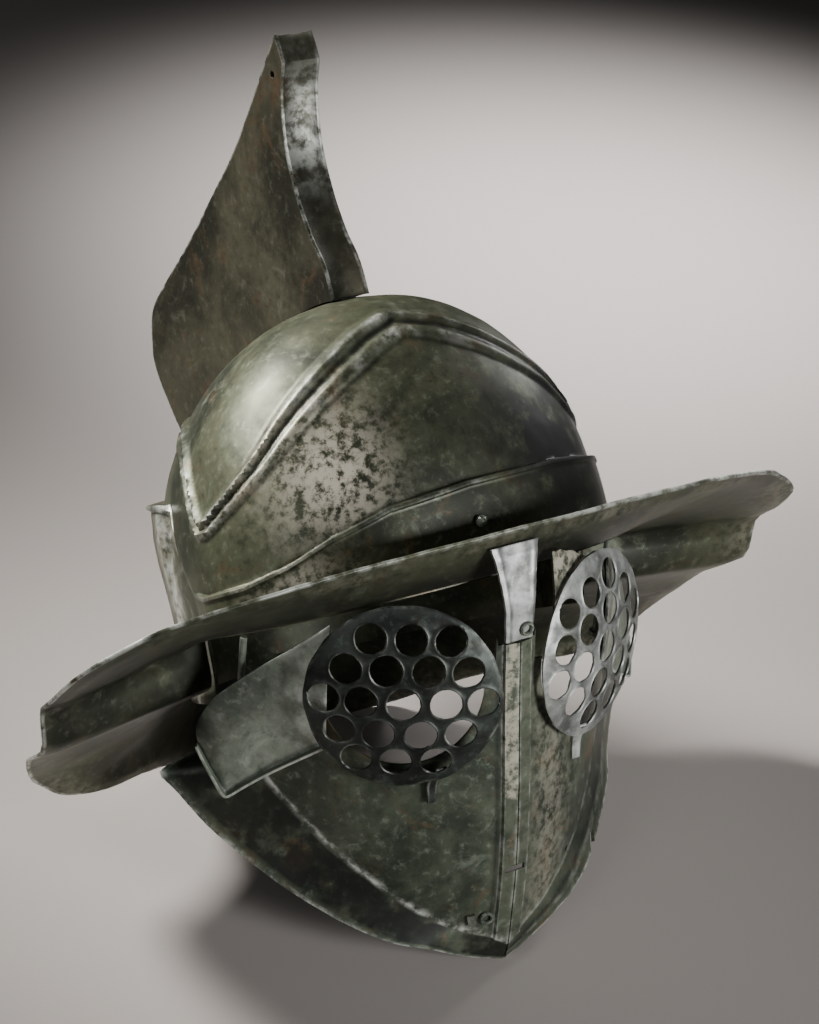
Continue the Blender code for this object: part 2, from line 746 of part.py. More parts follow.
def build_hinge_pin(side, home, tools):
    """The pin hangs from the bowl's rim through the barrel and ends in a small head."""
    name = "hinge_pin_left" if side < 0 else "hinge_pin_right"
    axis = hinge_axis()
    rise = (HINGE_DOWN + BOWL_RIM_FRONT - GAP - HINGE_PIN * math.sin(lean_angle())) / axis.z
    foot = -BARREL_LENGTH / 2 - GAP
    pin = rod(name, hinge_point(side, foot - PIN_HEAD / 2), hinge_point(side, rise), HINGE_PIN, home, "dark")
    head = [hinge_point(side, up) for up in (foot - PIN_HEAD, foot)]
    cut(pin, rod(f"pin_head_tool_{side}", *head, HINGE_BARREL, tools), "UNION")


def grille_frame(side):
    """Middle, outward normal, sideways and upward directions of a grille."""
    turn, spin = (math.radians(a) for a in GRILLE_SET[side])
    tilt = math.radians(GRILLE_TILT)
    normal = Vector((
        side * math.sin(turn) * math.cos(tilt),
        -math.cos(turn) * math.cos(tilt),
        -math.sin(tilt),
    ))
    sideways = side * Vector((0, 0, 1)).cross(normal).normalized()
    upward = sideways.cross(normal) * side
    if upward.z < 0:
        upward = -upward
    turned = Matrix.Rotation(-side * spin, 3, normal)
    middle = face_point(side * GRILLE_ACROSS, GRILLE_DOWN, GRILLE_STAND)
    return middle, normal, turned @ sideways, turned @ upward


def grille_point(frame, x, y, out=0.0):
    middle, normal, sideways, upward = frame
    dome = GRILLE_DOME * (1 - (x**2 + y**2) / GRILLE_RADIUS**2)
    return middle + x * sideways + y * upward + (dome + out) * normal


def build_grille(side, home, tools):
    name = "eye_grille_left" if side < 0 else "eye_grille_right"
    frame = grille_frame(side)
    sides = 24
    bm = bmesh.new()
    middle = bm.verts.new(grille_point(frame, 0.0, 0.0))
    before = None
    for share in GRILLE_RINGS:
        reach = share * GRILLE_RADIUS
        turns = [2 * math.pi * i / sides for i in range(sides)]
        here = [bm.verts.new(grille_point(frame, reach * math.cos(t), reach * math.sin(t))) for t in turns]
        for i in range(sides):
            j = (i + 1) % sides
            bm.faces.new((before[i], before[j], here[j], here[i]) if before else (middle, here[i], here[j]))
        before = here
    grille = add_object(name, bm, home, "dark" if side < 0 else "tinned")
    solidify(grille, THIN_SHEET)
    cut(grille, build_holes_tool(side, frame, tools))
    cut(grille, build_tab_tool(side, frame, tools), "UNION")


def build_holes_tool(side, frame, tools):
    """Nineteen round bores in columns, drawn in a little towards the rim."""
    bm = bmesh.new()
    depth = 4 * GRILLE_DOME
    for column, count in enumerate(HOLE_COLUMNS):
        for step in range(count):
            x = (column - 2) * HOLE_COLUMN
            y = (step - (count - 1) / 2) * HOLE_STEP
            far = math.hypot(x, y) / (2 * HOLE_STEP)
            x, y = (v * (1 - HOLE_SQUEEZE * far**2) for v in (x, y))
            radius = HOLE_RADIUS * (1 - HOLE_SQUEEZE * far)
            turned = frame[1].to_track_quat("Z", "Y").to_matrix().to_4x4()
            place = Matrix.Translation(grille_point(frame, x, y)) @ turned
            size = {"radius1": radius, "radius2": radius, "depth": depth}
            bmesh.ops.create_cone(bm, cap_ends=True, segments=10, matrix=place, **size)
    return add_object(f"holes_tool_{side}", bm, tools)


def build_tab_tool(side, frame, tools):
    """The tab below a grille, bent in to the cheek plate."""
    width, length = TAB
    normal = frame[1]
    top = grille_point(frame, 0.0, -GRILLE_RADIUS + 3 * SHEET, -THIN_SHEET / 2)
    across = abs(top.x)
    rows = []
    for share in (0.0, 0.45, 1.0):
        down = -top.z + share * length
        here = top if share == 0 else face_point(side * across, down, GAP + 1.6 * THIN_SHEET)
        half = Vector((width / 2, 0, 0))
        thick = normal * THIN_SHEET / 2
        rows.append([here - half - thick, here + half - thick, here + half + thick, here - half + thick])
    return add_object(f"tab_tool_{side}", loft(rows, closed=True, cap=True), tools, smooth=False)


def build_temple_plate(side, home):
    """A plate over the hinge with a lower rim folded outwards."""
    name = "temple_plate_left" if side < 0 else "temple_plate_right"
    steps = 5
    rows = []
    for section in TEMPLE:
        ends = []
        for across, back, down in (section[:3], section[3:]):
            ends.append(Vector((
                side * across * VISOR_SPAN, back * VISOR_REACH, -down * FLANGE_DROP
            )))
        top, foot = ends
        outward = Vector((side, -1, 0)).normalized()
        row = []
        for i in range(steps + 1):
            share = i / steps
            row.append(top.lerp(foot, share) + outward * TEMPLE_CROWN * 4 * share * (1 - share))
        rows.append(row + [foot + outward * TEMPLE_FOLD - Vector((0, 0, TEMPLE_FOLD / 2))])
    plate = add_object(name, loft(rows), home, "patina")
    solidify(plate, THIN_SHEET)


def build_chin_pieces(home):
    """A staple and a small ring at the foot of the left cheek plate."""
    across, down = STAPLE_AT
    normal = face_normal(-across, down)
    foot = face_point(-across, down, GAP + SHEET / 2)
    turned = normal.to_track_quat("Z", "Y").to_matrix().to_4x4()
    bm = bmesh.new()
    place = Matrix.Translation(foot) @ turned @ Matrix.Diagonal((4 * MM, 6 * MM, SHEET, 1))
    bmesh.ops.create_cube(bm, size=1, matrix=place)
    add_object("chin_staple", bm, home, "tinned", smooth=False)
    across, down = RING_AT
    middle = face_point(-across, down, GAP + EYELET_WIRE)
    ring("chin_ring", middle, face_normal(-across, down), EYELET_RADIUS, EYELET_WIRE, home, "tinned")


def is_on_visor(name, side):
    word = "left" if side < 0 else "right"
    return name.startswith(("cheek_plate", "temple_plate", "eye_grille")) and name.endswith(word)


def pose(home, tools):
    """Hangs the pieces on empties, the visor halves on their hinges, and sets all on the floor."""
    lean = Matrix.Rotation(-lean_angle(), 4, "X")
    bpy.context.view_layer.update()
    graph = bpy.context.evaluated_depsgraph_get()
    points = []
    for made in home.objects:
        mesh = made.evaluated_get(graph).to_mesh()
        points += [lean @ v.co for v in mesh.vertices]
        made.evaluated_get(graph).to_mesh_clear()
    low = Vector([min(p[i] for p in points) for i in range(3)])
    high = Vector([max(p[i] for p in points) for i in range(3)])
    middle = (low + high) / 2
    rest = Matrix.Translation((-middle.x, -middle.y, -low.z)) @ lean
    root = bpy.data.objects.new("helmet_at_rest", None)
    home.objects.link(root)
    root.matrix_world = rest
    hinges = {}
    for side in (-1, 1):
        hinge = bpy.data.objects.new("hinge_left" if side < 0 else "hinge_right", None)
        home.objects.link(hinge)
        hinge.parent = root
        turned = hinge_axis().to_track_quat("Z", "Y").to_matrix().to_4x4()
        local = Matrix.Translation(hinge_point(side)) @ turned
        hinge.matrix_local = local
        hinges[side] = (hinge, local.inverted())
    for tool in tools.objects:
        tool.parent = root
    left_extras = ("chin_staple", "chin_ring")
    for made in list(home.objects):
        if made.type == "EMPTY":
            continue
        made.parent = root
        for side in (-1, 1):
            if is_on_visor(made.name, side) or (side < 0 and made.name in left_extras):
                made.parent, made.matrix_parent_inverse = hinges[side]
    bpy.context.view_layer.update()
    for hinge, _ in hinges.values():
        spot = hinge.matrix_world.translation
        print(hinge.name, "at", [round(v, 5) for v in spot])


def main():
    for old in list(bpy.data.objects):
        bpy.data.objects.remove(old)
    home = collection_for("gladiator_helmet")
    tools = collection_for("tools", hidden=True)
    build_bowl(home, tools)
    build_brim(home)
    build_crest(home, tools)
    build_brow_rivet(home)
    build_nasal_band(home)
    build_nasal_eyelet(home)
    build_chin_pieces(home)
    for side in (-1, 1):
        build_cheek(side, home, tools)
        build_temple_plate(side, home)
        build_grille(side, home, tools)
        build_hinge_pin(side, home, tools)
    pose(home, tools)


main()
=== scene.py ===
# %% [markdown]
# # A gladiator's bronze helmet
# The helmet is a hammered bowl with a wide brim, a fin-shaped crest and a visor of two hinged halves,
# each with a round pierced grille over the eye. It lies on its chin and on its neck guard. The packed
# model gives the true solids and the bodies that move. This script dresses them: every sheet of metal
# is made again with many more sections, so that its curves, creases and worn edges are real shape.

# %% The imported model
import bisect
import json
import math

import bmesh
import bpy
import numpy as np
from mathutils import Matrix, Vector, geometry, noise


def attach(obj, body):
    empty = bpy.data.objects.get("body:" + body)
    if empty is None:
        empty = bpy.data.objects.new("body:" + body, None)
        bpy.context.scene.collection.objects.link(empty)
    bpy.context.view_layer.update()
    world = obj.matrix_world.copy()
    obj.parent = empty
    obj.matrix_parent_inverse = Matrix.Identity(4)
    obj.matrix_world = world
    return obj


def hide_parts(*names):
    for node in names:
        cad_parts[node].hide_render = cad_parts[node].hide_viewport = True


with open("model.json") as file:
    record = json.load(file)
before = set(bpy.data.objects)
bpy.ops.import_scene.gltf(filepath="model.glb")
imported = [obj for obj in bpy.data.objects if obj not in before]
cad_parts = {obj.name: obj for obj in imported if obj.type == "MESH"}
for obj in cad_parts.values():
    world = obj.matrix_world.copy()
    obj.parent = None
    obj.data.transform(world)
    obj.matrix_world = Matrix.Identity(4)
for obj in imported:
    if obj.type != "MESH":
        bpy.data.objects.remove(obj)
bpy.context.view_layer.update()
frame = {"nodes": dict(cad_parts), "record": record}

# %% [markdown]
# ## Two frames
# A smith makes the helmet upright, so its sizes are simplest in an upright frame: x to the right of a
# viewer in front, y to the back, z up, with the brim's plane at z = 0. The helmet rests leaned back,
# and one matrix carries the upright frame to the place where it lies. The right-hand hinge, which the
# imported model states, ties the two together.

# %% Sizes and the way to the resting place
MM = 0.001
SHEET = 1.6 * MM
THIN_SHEET = 1.3 * MM
GAP = 0.35 * MM
BRIM_DROP, BRIM_BACK, BRIM_FRONT, BRIM_HALF_WIDTH = 86 * MM, 168 * MM, 108 * MM, 204 * MM
FLANGE_DROP, CHIN_BACK = 203 * MM, -10 * MM
HINGE = Vector((104.6, 1.6, -56)) * MM
LEAN = math.atan2(FLANGE_DROP - BRIM_DROP, BRIM_BACK - CHIN_BACK)

joints = frame["record"]["behaviour"]["joints"]
hinge_at = Vector(next(j for j in joints if j["name"] == "visor_right_hinge")["pos_m"])
turn_back = Matrix.Rotation(-LEAN, 4, "X")
REST = Matrix.Translation(hinge_at - turn_back @ HINGE) @ turn_back
print("leaned back by", round(math.degrees(LEAN), 1), "degrees")


def along(table, key, column):
    """A column's value at a key, on a smooth curve through the rows that never overshoots them."""
    keys = [row[0] for row in table]
    if key <= keys[0]:
        return table[0][column]
    if key >= keys[-1]:
        return table[-1][column]
    low = bisect.bisect_right(keys, key) - 1

    def slope(i):
        rise = [(table[j + 1][column] - table[j][column]) / (keys[j + 1] - keys[j])
                for j in (i - 1, i) if 0 <= j < len(keys) - 1]
        if len(rise) == 1:
            return rise[0]
        return 2 * rise[0] * rise[1] / (rise[0] + rise[1]) if rise[0] * rise[1] > 0 else 0.0

    span = keys[low + 1] - keys[low]
    t = (key - keys[low]) / span
    start, end = table[low][column], table[low + 1][column]
    return (start * (1 + 2 * t) * (1 - t) ** 2 + end * t * t * (3 - 2 * t)
            + span * (slope(low) * t * (1 - t) ** 2 - slope(low + 1) * t * t * (1 - t)))


def straight(table, key, column):
    """A column's value at a key, with straight lines between the rows."""
    return float(np.interp(key, [row[0] for row in table], [row[column] for row in table]))


def bump(distance, width):
    """A soft bell: 1 at distance 0, near 0 past the width."""
    return math.exp(-(distance / width) ** 2)


def rough(point, size, seed=0.0):
    """Smooth noise from -1 to 1 with features of about this size."""
    return noise.noise(Vector(point) / size + Vector((seed, 2 * seed, -seed)))


# %% [markdown]
# ## A piece from a grid of points
# Hammered sheet is a surface with a thickness. Each piece is a grid of points on its outer face, which
# Solidify thickens and a fine Bevel rounds at its cut edges, as years of handling do. Three numbers are
# kept at every point for the metal's finish: how bright, from wear and painted highlight, how pale, from
# crust and painted light, and how dark, mostly as painted shade.

# %% Making pieces
LOOKS = ("wear_and_highlight", "pale", "dark")


def new_piece(name, points, faces, looks, body, node=None, sheet=None, offset=-1, edge=0.3 * MM):
    """A mesh from points of the upright frame, thickened, laid at rest and riding on a body."""
    mesh = bpy.data.meshes.new(name)
    mesh.from_pydata([REST @ Vector(p) for p in points], [], faces)
    for word in LOOKS:
        layer = mesh.attributes.new(word, "FLOAT", "POINT")
        layer.data.foreach_set("value", [float(look.get(word, 0.0)) for look in looks])
    mesh.shade_smooth()
    mesh.set_sharp_from_angle(angle=math.radians(38))
    piece = bpy.data.objects.new(name, mesh)
    bpy.context.scene.collection.objects.link(piece)
    if sheet:
        solid = piece.modifiers.new("sheet", "SOLIDIFY")
        solid.thickness = sheet
        solid.offset = offset
        solid.use_quality_normals = True
    if edge:
        bevel = piece.modifiers.new("handled edge", "BEVEL")
        bevel.width = edge
        bevel.segments = 2
        bevel.limit_method = "ANGLE"
        bevel.angle_limit = math.radians(50)
        bevel.harden_normals = False
    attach(piece, body)
    if node:
        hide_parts(node)
    return piece


def grid_faces(rows, columns, closed=False):
    """Four-sided faces of a grid kept row by row."""
    faces = []
    for r in range(rows - 1):
        for c in range(columns if closed else columns - 1):
            d = (c + 1) % columns
            faces.append((r * columns + c, r * columns + d, (r + 1) * columns + d, (r + 1) * columns + c))
    return faces


def faced_out(points, faces, middle):
    """The faces, turned round if they look at the middle."""
    a, b, c = (Vector(points[i]) for i in faces[len(faces) // 2][:3])
    if (b - a).cross(c - a).dot(a - Vector(middle)) < 0:
        return [tuple(reversed(face)) for face in faces]
    return faces


# %% [markdown]
# ## The metal
# Old bronze is a brown metal under a skin of green and black minerals, rubbed bright where hands and
# stands touch it. A single colour would look like paint, so the finish is built in layers of noise of
# three sizes: broad clouds of olive and brown, patches of rust-red and grey-green, and fine grain. The
# three numbers kept in the mesh then lighten, darken or polish chosen places, as wear and crust and as
# painted highlight, painted light and painted shade.

# %% Bronze finishes
PATINA = {
    # name: deep, middle, light, warm colours, then metallic value and roughness
    "olive": ((0.02, 0.024, 0.015), (0.072, 0.078, 0.046), (0.19, 0.21, 0.15), (0.11, 0.062, 0.03),
              0.55, 0.4),
    "brown": ((0.02, 0.02, 0.013), (0.062, 0.06, 0.038), (0.13, 0.135, 0.1), (0.085, 0.052, 0.028),
              0.55, 0.42),
    "green": ((0.022, 0.03, 0.021), (0.085, 0.1, 0.068), (0.24, 0.28, 0.22), (0.13, 0.085, 0.045),
              0.5, 0.42),
    "black": ((0.008, 0.01, 0.009), (0.03, 0.036, 0.031), (0.12, 0.15, 0.13), (0.05, 0.034, 0.022),
              0.55, 0.42),
    "silver": ((0.1, 0.105, 0.1), (0.36, 0.375, 0.36), (0.62, 0.64, 0.62), (0.22, 0.2, 0.15), 0.55, 0.42),
    "mint": ((0.055, 0.065, 0.052), (0.21, 0.24, 0.19), (0.42, 0.47, 0.4), (0.16, 0.12, 0.075), 0.5, 0.42),
}
BRIGHT = (0.52, 0.54, 0.49)  # rubbed metal, and painted highlight
BEIGE = (0.5, 0.46, 0.37)  # bare mineral crust, and painted light
# Near black for the dark number: mostly painted shade.
SHADE_AND_SOOT = (0.006, 0.007, 0.006)


def bronze(name, kind, clouds=16.0, pits=0.35, warm=0.5, hammer=0.25):
    """A layered bronze material. clouds is the broad noise's scale, pits and warm are amounts."""
    deep, middle, light, rust, metallic, roughness = PATINA[kind]
    made = bpy.data.materials.new(name)
    made.use_nodes = True
    tree = made.node_tree
    shader = tree.nodes["Principled BSDF"]
    place = tree.nodes.new("ShaderNodeTexCoord").outputs["Object"]

    def grain(scale, detail=6.0, rough_share=0.6, stretch=0.0):
        node = tree.nodes.new("ShaderNodeTexNoise")
        node.inputs["Scale"].default_value = scale
        node.inputs["Detail"].default_value = detail
        node.inputs["Roughness"].default_value = rough_share
        node.inputs["Distortion"].default_value = stretch
        tree.links.new(place, node.inputs["Vector"])
        return node.outputs["Fac"]

    def ramp(value, low, high):
        node = tree.nodes.new("ShaderNodeMapRange")
        node.interpolation_type = "SMOOTHSTEP"
        node.inputs["From Min"].default_value = low
        node.inputs["From Max"].default_value = high
        tree.links.new(value, node.inputs["Value"])
        return node.outputs["Result"]

    def times(a, b):
        node = tree.nodes.new("ShaderNodeMath")
        node.operation = "MULTIPLY"
        for socket, value in zip(node.inputs, (a, b)):
            if isinstance(value, float):
                socket.default_value = value
            else:
                tree.links.new(value, socket)
        return node.outputs[0]

    def plus(a, b):
        node = tree.nodes.new("ShaderNodeMath")
        node.operation = "ADD"
        node.use_clamp = True
        tree.links.new(a, node.inputs[0])
        tree.links.new(b, node.inputs[1])
        return node.outputs[0]

    def mix(amount, below, above):
        node = tree.nodes.new("ShaderNodeMix")
        node.data_type = "RGBA"
        tree.links.new(amount, node.inputs["Factor"])
        for socket, value in ((node.inputs["A"], below), (node.inputs["B"], above)):
            if isinstance(value, tuple):
                socket.default_value = (*value, 1)
            else:
                tree.links.new(value, socket)
        return node.outputs["Result"]

    def kept(word):
        node = tree.nodes.new("ShaderNodeAttribute")
        node.attribute_name = word
        return node.outputs["Fac"]

    cloud = grain(clouds, stretch=0.6)
    fine = grain(190.0, 8.0, 0.7)
    patches = grain(clouds * 2.3, 7.0, 0.65, 1.2)
    specks = grain(640.0, 4.0, 0.6)
    colour = mix(ramp(cloud, 0.36, 0.62), deep, middle)
    colour = mix(times(ramp(patches, 0.54, 0.72), warm), colour, rust)
    colour = mix(times(ramp(grain(clouds * 3.1, 8.0, 0.7, 0.8), 0.55, 0.75), 0.6), colour, light)
    colour = mix(times(ramp(fine, 0.52, 0.74), 0.5), colour, light)
    colour = mix(times(ramp(fine, 0.5, 0.3), 0.55), colour, deep)
    # Beige comes in with the pale number: mineral crust, and painted light.
    crust_and_light = times(kept("pale"), ramp(fine, 0.4, 0.56))
    colour = mix(crust_and_light, colour, BEIGE)
    pitted = plus(times(kept("pale"), 0.9), times(ramp(patches, 0.5, 0.62), pits))
    pit = times(ramp(specks, 0.63, 0.7), pitted)
    colour = mix(pit, colour, deep)
    # Rubbed metal comes in with the bright number: wear, and painted highlight.
    wear_and_highlight_mask = times(times(kept("wear_and_highlight"), ramp(grain(120.0, 7.0, 0.65), 0.38, 0.62)), ramp(patches, 0.3, 0.52))
    colour = mix(wear_and_highlight_mask, colour, BRIGHT)
    # Near black comes in with the dark number: mostly painted shade.
    colour = mix(times(kept("dark"), ramp(grain(60.0, 6.0), 0.28, 0.5)), colour, SHADE_AND_SOOT)
    tree.links.new(colour, shader.inputs["Base Color"])
    shader.inputs["Metallic"].default_value = metallic

    sheen = tree.nodes.new("ShaderNodeMapRange")
    sheen.inputs["To Min"].default_value = roughness - 0.1
    sheen.inputs["To Max"].default_value = roughness + 0.2
    tree.links.new(plus(times(fine, 0.6), times(cloud, 0.4)), sheen.inputs["Value"])
    tree.links.new(sheen.outputs["Result"], shader.inputs["Roughness"])

    blows = tree.nodes.new("ShaderNodeBump")
    blows.inputs["Strength"].default_value = hammer
    blows.inputs["Distance"].default_value = 0.8 * MM
    tree.links.new(grain(55.0, 2.0, 0.4), blows.inputs["Height"])
    skin = tree.nodes.new("ShaderNodeBump")
    skin.inputs["Strength"].default_value = 0.3
    skin.inputs["Distance"].default_value = 0.25 * MM
    tree.links.new(plus(times(grain(420.0, 6.0, 0.7), 0.7), times(pit, -0.6)), skin.inputs["Height"])
    tree.links.new(blows.outputs["Normal"], skin.inputs["Normal"])
    tree.links.new(skin.outputs["Normal"], shader.inputs["Normal"])
    return made


FINISH = {
    "bowl": bronze("bowl_bronze", "olive", clouds=13.0, pits=0.45, warm=0.7),
    "brim": bronze("brim_bronze", "olive", clouds=17.0, pits=0.5, warm=0.4, hammer=0.35),
    "crest": bronze("crest_bronze", "brown", clouds=15.0, pits=0.3, warm=0.8, hammer=0.15),
    "cheek": bronze("cheek_bronze", "green", clouds=19.0, pits=0.4, warm=0.9),
    "temple": bronze("temple_bronze", "mint", clouds=14.0, pits=0.3, warm=0.4),
    # The two grille finishes are one metal: black for the left grille as painted shade, pale silver for the
    # right as painted light.
    "grille_shaded": bronze("grille_shaded_bronze", "black", clouds=40.0, pits=0.6, warm=0.6, hammer=0.4),
    "grille_lit": bronze("grille_lit_bronze", "silver", clouds=36.0, pits=0.5, warm=0.4, hammer=0.4),
    "nasal": bronze("nasal_bronze", "silver", clouds=40.0, pits=0.5, warm=0.3, hammer=0.35),
    "small": bronze("small_bronze", "mint", clouds=60.0, pits=0.4, warm=0.4),
}
for node_name, kind in (("brow_rivet", "small"), ("nasal_eyelet", "small"), ("chin_staple", "small"),
                        ("chin_ring", "small"), ("hinge_pin_left", "temple"), ("hinge_pin_right", "temple")):
    slots = frame["nodes"][node_name].material_slots
    for slot in slots:
        slot.material = FINISH[kind]
print(len(FINISH), "finishes")

# %% [markdown]
# ## The bowl
# The bowl was beaten up from one sheet: egg-shaped in plan, with a band at the brow that stands out a
# few millimetres, a wider band at the nape, and a pair of ribs that run as a V over each temple. A
# subdivision cage could give the dome, but the ribs need their own line over it, so the dome is a
# formula and the ribs are a rise in it that depends on how far each point is from the line.

# %% The bowl's shape
BOWL_HALF_WIDTH, BOWL_FRONT, BOWL_BACK, BOWL_HEIGHT = 108 * MM, 77 * MM, 139 * MM, 127 * MM
BOWL_ROUNDNESS, BROW_FULLNESS = 2.1, 0.16
BOWL_RIM_FRONT, BOWL_RIM_BACK = -16 * MM, -48 * MM
RIM_DROP_FROM, RIM_DROP_OVER = 93.0, 4.5
BAND_PROUD = 3.4 * MM
RIB_PROUD = 2.6 * MM
RIB_WIDTH = 10 * MM
BAND = (
    # angle from the nose, top edge as a share of the height, how proud
    (-180, 0.38, 2.65), (-113, 0.38, 2.65), (-111, 0.36, 0.0), (-96, 0.05, 0.0), (-88, 0.03, 1.0),
    (-72, 0.045, 1.0), (-60, 0.085, 1.0), (-48, 0.145, 1.0), (-30, 0.205, 1.0), (0, 0.232, 1.0),
    (36, 0.232, 1.0), (66, 0.2, 1.0), (84, 0.15, 1.0), (92, 0.13, 0.0), (111, 0.36, 0.0),
    (113, 0.38, 2.65), (180, 0.38, 2.65),
)
RIB = (
    # angle from the nose, height share, width share
    (0, 0.865, 1.0), (20, 0.82, 1.0), (36, 0.745, 0.95), (47, 0.667, 0.9), (57, 0.567, 0.8),
    (66, 0.445, 0.62), (76, 0.345, 0.55), (87, 0.27, 0.5), (93, 0.37, 0.5), (99, 0.47, 0.55),
    (108, 0.56, 0.6), (130, 0.65, 0.6), (169, 0.69, 0.6),
)
RIB_PROFILE = (
    # distance from the line as a share of the width, rise as a share of RIB_PROUD
    (-1.25, 0.0), (-1.0, 0.0), (-0.7, 0.62), (-0.4, 0.8), (0.0, 0.1), (0.2, 0.1), (0.55, 1.0),
    (0.85, 0.6), (1.25, 0.0),
)


def bowl_point(angle, height, out=0.0):
    """A point of the bowl's outer face, moved outwards along the face by out."""
    turn = math.radians(angle)
    front = max(math.cos(turn), 0.0)
    deep = BOWL_FRONT if front else BOWL_BACK
    plan_power = 2 + BROW_FULLNESS * min(3 * front, 1.0)
    side, ahead = abs(math.sin(turn)) / BOWL_HALF_WIDTH, abs(math.cos(turn)) / deep
    radius = (side**plan_power + ahead**plan_power) ** (-1 / plan_power)
    share = min(max(height / BOWL_HEIGHT, 0.0), 1.0)
    power = BOWL_ROUNDNESS + BROW_FULLNESS * front
    shrink = (1 - share**power) ** (1 / power)
    level, up = 1 / radius, (share / max(shrink, 0.02)) ** (power - 1) / BOWL_HEIGHT
    length = math.hypot(level, up)
    reach = radius * shrink + out * level / length
    return Vector((reach * math.sin(turn), -reach * math.cos(turn), height + out * up / length))


def band_out(angle, height, top):
    """How far the brow band or the nape band stands out at this height."""
    proud = straight(BAND, angle, 2) * BAND_PROUD
    if proud > BAND_PROUD:
        return proud * min(max(height / top, 0.12), 1.0)
    return proud


def rim_height(angle):
    share = min(max((abs(angle) - RIM_DROP_FROM) / RIM_DROP_OVER, 0.0), 1.0)
    return BOWL_RIM_FRONT + share * (BOWL_RIM_BACK - BOWL_RIM_FRONT)


# %% The bowl's points
DENTS = (
    # angle, height share, reach in mm, depth in mm
    (-38, 0.42, 26, 0.9), (14, 0.55, 30, 0.8), (52, 0.36, 22, 1.0), (-112, 0.66, 34, 1.2),
    (150, 0.55, 30, 1.1), (-20, 0.7, 16, 0.5), (95, 0.72, 26, 0.8), (-66, 0.6, 15, 0.6),
)
TURNS = [i - 180 for i in range(360)]
BEAD = (-4.2, -3.0, -2.5, -2.0, -1.2, -0.5, -0.1, 0.25, 0.7)  # mm about the band's top edge
BEAD_OUT = (0.72, 0.7, 0.8, 0.98, 1.0, 0.97, 0.8, 0.2, 0.0)
BAND_ROWS, DOME_ROWS = 8, 104

line = [bowl_point(side * a, along(RIB, a, 1) * BOWL_HEIGHT)
        for side in (-1, 1) for a in np.arange(0, RIB[-1][0], 0.8)]
line_width = [along(RIB, a, 2) * RIB_WIDTH for side in (-1, 1) for a in np.arange(0, RIB[-1][0], 0.8)]
LINE = np.array([tuple(p) for p in line])


def rib_place(angle, height):
    """Signed distance from the rib's line, above it positive, as a share of the rib's width."""
    here = bowl_point(angle, height)
    away = np.linalg.norm(LINE - np.array(tuple(here)), axis=1)
    near = int(np.argmin(away))
    above = height > along(RIB, abs(angle), 1) * BOWL_HEIGHT
    return (1 if above else -1) * away[near] / line_width[near]


def bowl_row(height_of, out_of):
    row, looks = [], []
    for angle in TURNS:
        height = height_of(angle)
        out, look = out_of(angle, height)
        row.append(bowl_point(angle, height, out))
        looks.append(look)
    return row, looks


def band_top(angle):
    return straight(BAND, angle, 1) * BOWL_HEIGHT


def shadow_side(angle, share):
    """Painted shade on the viewer's right, low on the bowl."""
    return 1.1 * bump(angle - 48, 44) * bump(share - 0.32, 0.42)


def band_point(angle, height, factor):
    top = band_top(angle)
    proud = band_out(angle, height, top)
    share = height / BOWL_HEIGHT
    edge = 1.0 if factor > 0.9 else 0.0
    ripple = 0.35 * MM * rough(bowl_point(angle, height), 22 * MM)
    look = {"wear_and_highlight": 0.45 * edge * max(rough((angle, height, 0), 9.0) + 0.5, 0) + 0.9 * bump(angle + 112, 5),
            "pale": 0.55 * bump(angle + 58, 13) * bump(share - 0.02, 0.09) + 0.4 * bump(angle + 112, 6),
            "dark": shadow_side(angle, share)}
    return proud * factor + ripple, look


def dome_point(angle, height):
    share = height / BOWL_HEIGHT
    place = rib_place(angle, height)
    rise = along(RIB_PROFILE, place, 1) * RIB_PROUD
    here = bowl_point(angle, height)
    dent = sum(depth * MM * bump((here - bowl_point(a, h * BOWL_HEIGHT)).length, reach * MM)
               for a, h, reach, depth in DENTS)
    ripple = 0.5 * MM * rough(here, 30 * MM) + 0.16 * MM * rough(here, 9 * MM, 3.0)
    # The rib crests (lit) are painted bright as highlight and wear, and on the viewer's left a little pale as
    # light; the troughs (groove) are painted shade.
    lit = bump(place - 0.62, 0.22) + 0.8 * bump(place + 0.55, 0.3)
    spots = max(0.0, rough((angle * 0.7, share * 30, 0), 6.0) + 0.12)
    groove = bump(place - 0.08, 0.2) + 0.4 * bump(place + 1.0, 0.14)
    # The bright patches at 84 and 8 degrees to the viewer's left are painted highlights.
    look = {"wear_and_highlight": 1.3 * lit * spots + 0.9 * lit * (bump(angle + 84, 9) + bump(angle + 8, 12)),
            "pale": 1.1 * bump(angle + 44, 15) * bump(share - 0.38, 0.2) + 0.5 * bump(angle + 70, 16) * lit,
            "dark": min(1.0, 0.85 * groove + shadow_side(angle, share))}
    return rise + ripple - dent, look


rows = []
for step in range(BAND_ROWS):
    rows.append(bowl_row(
        lambda a, s=step: rim_height(a) + (band_top(a) + BEAD[0] * MM - rim_height(a)) * s / BAND_ROWS,
        lambda a, h: band_point(a, h, BEAD_OUT[0])))
for offset, factor in zip(BEAD, BEAD_OUT):
    rows.append(bowl_row(
        lambda a, o=offset: band_top(a) + o * MM,
        lambda a, h, f=factor: band_point(a, h, f)))
for step in range(DOME_ROWS):
    def dome_height(angle, step=step):
        start = math.asin(min((band_top(angle) + 1.2 * MM) / BOWL_HEIGHT, 1.0))
        return BOWL_HEIGHT * math.sin(start + (math.pi / 2 - start) * step / DOME_ROWS)
    rows.append(bowl_row(dome_height, dome_point))

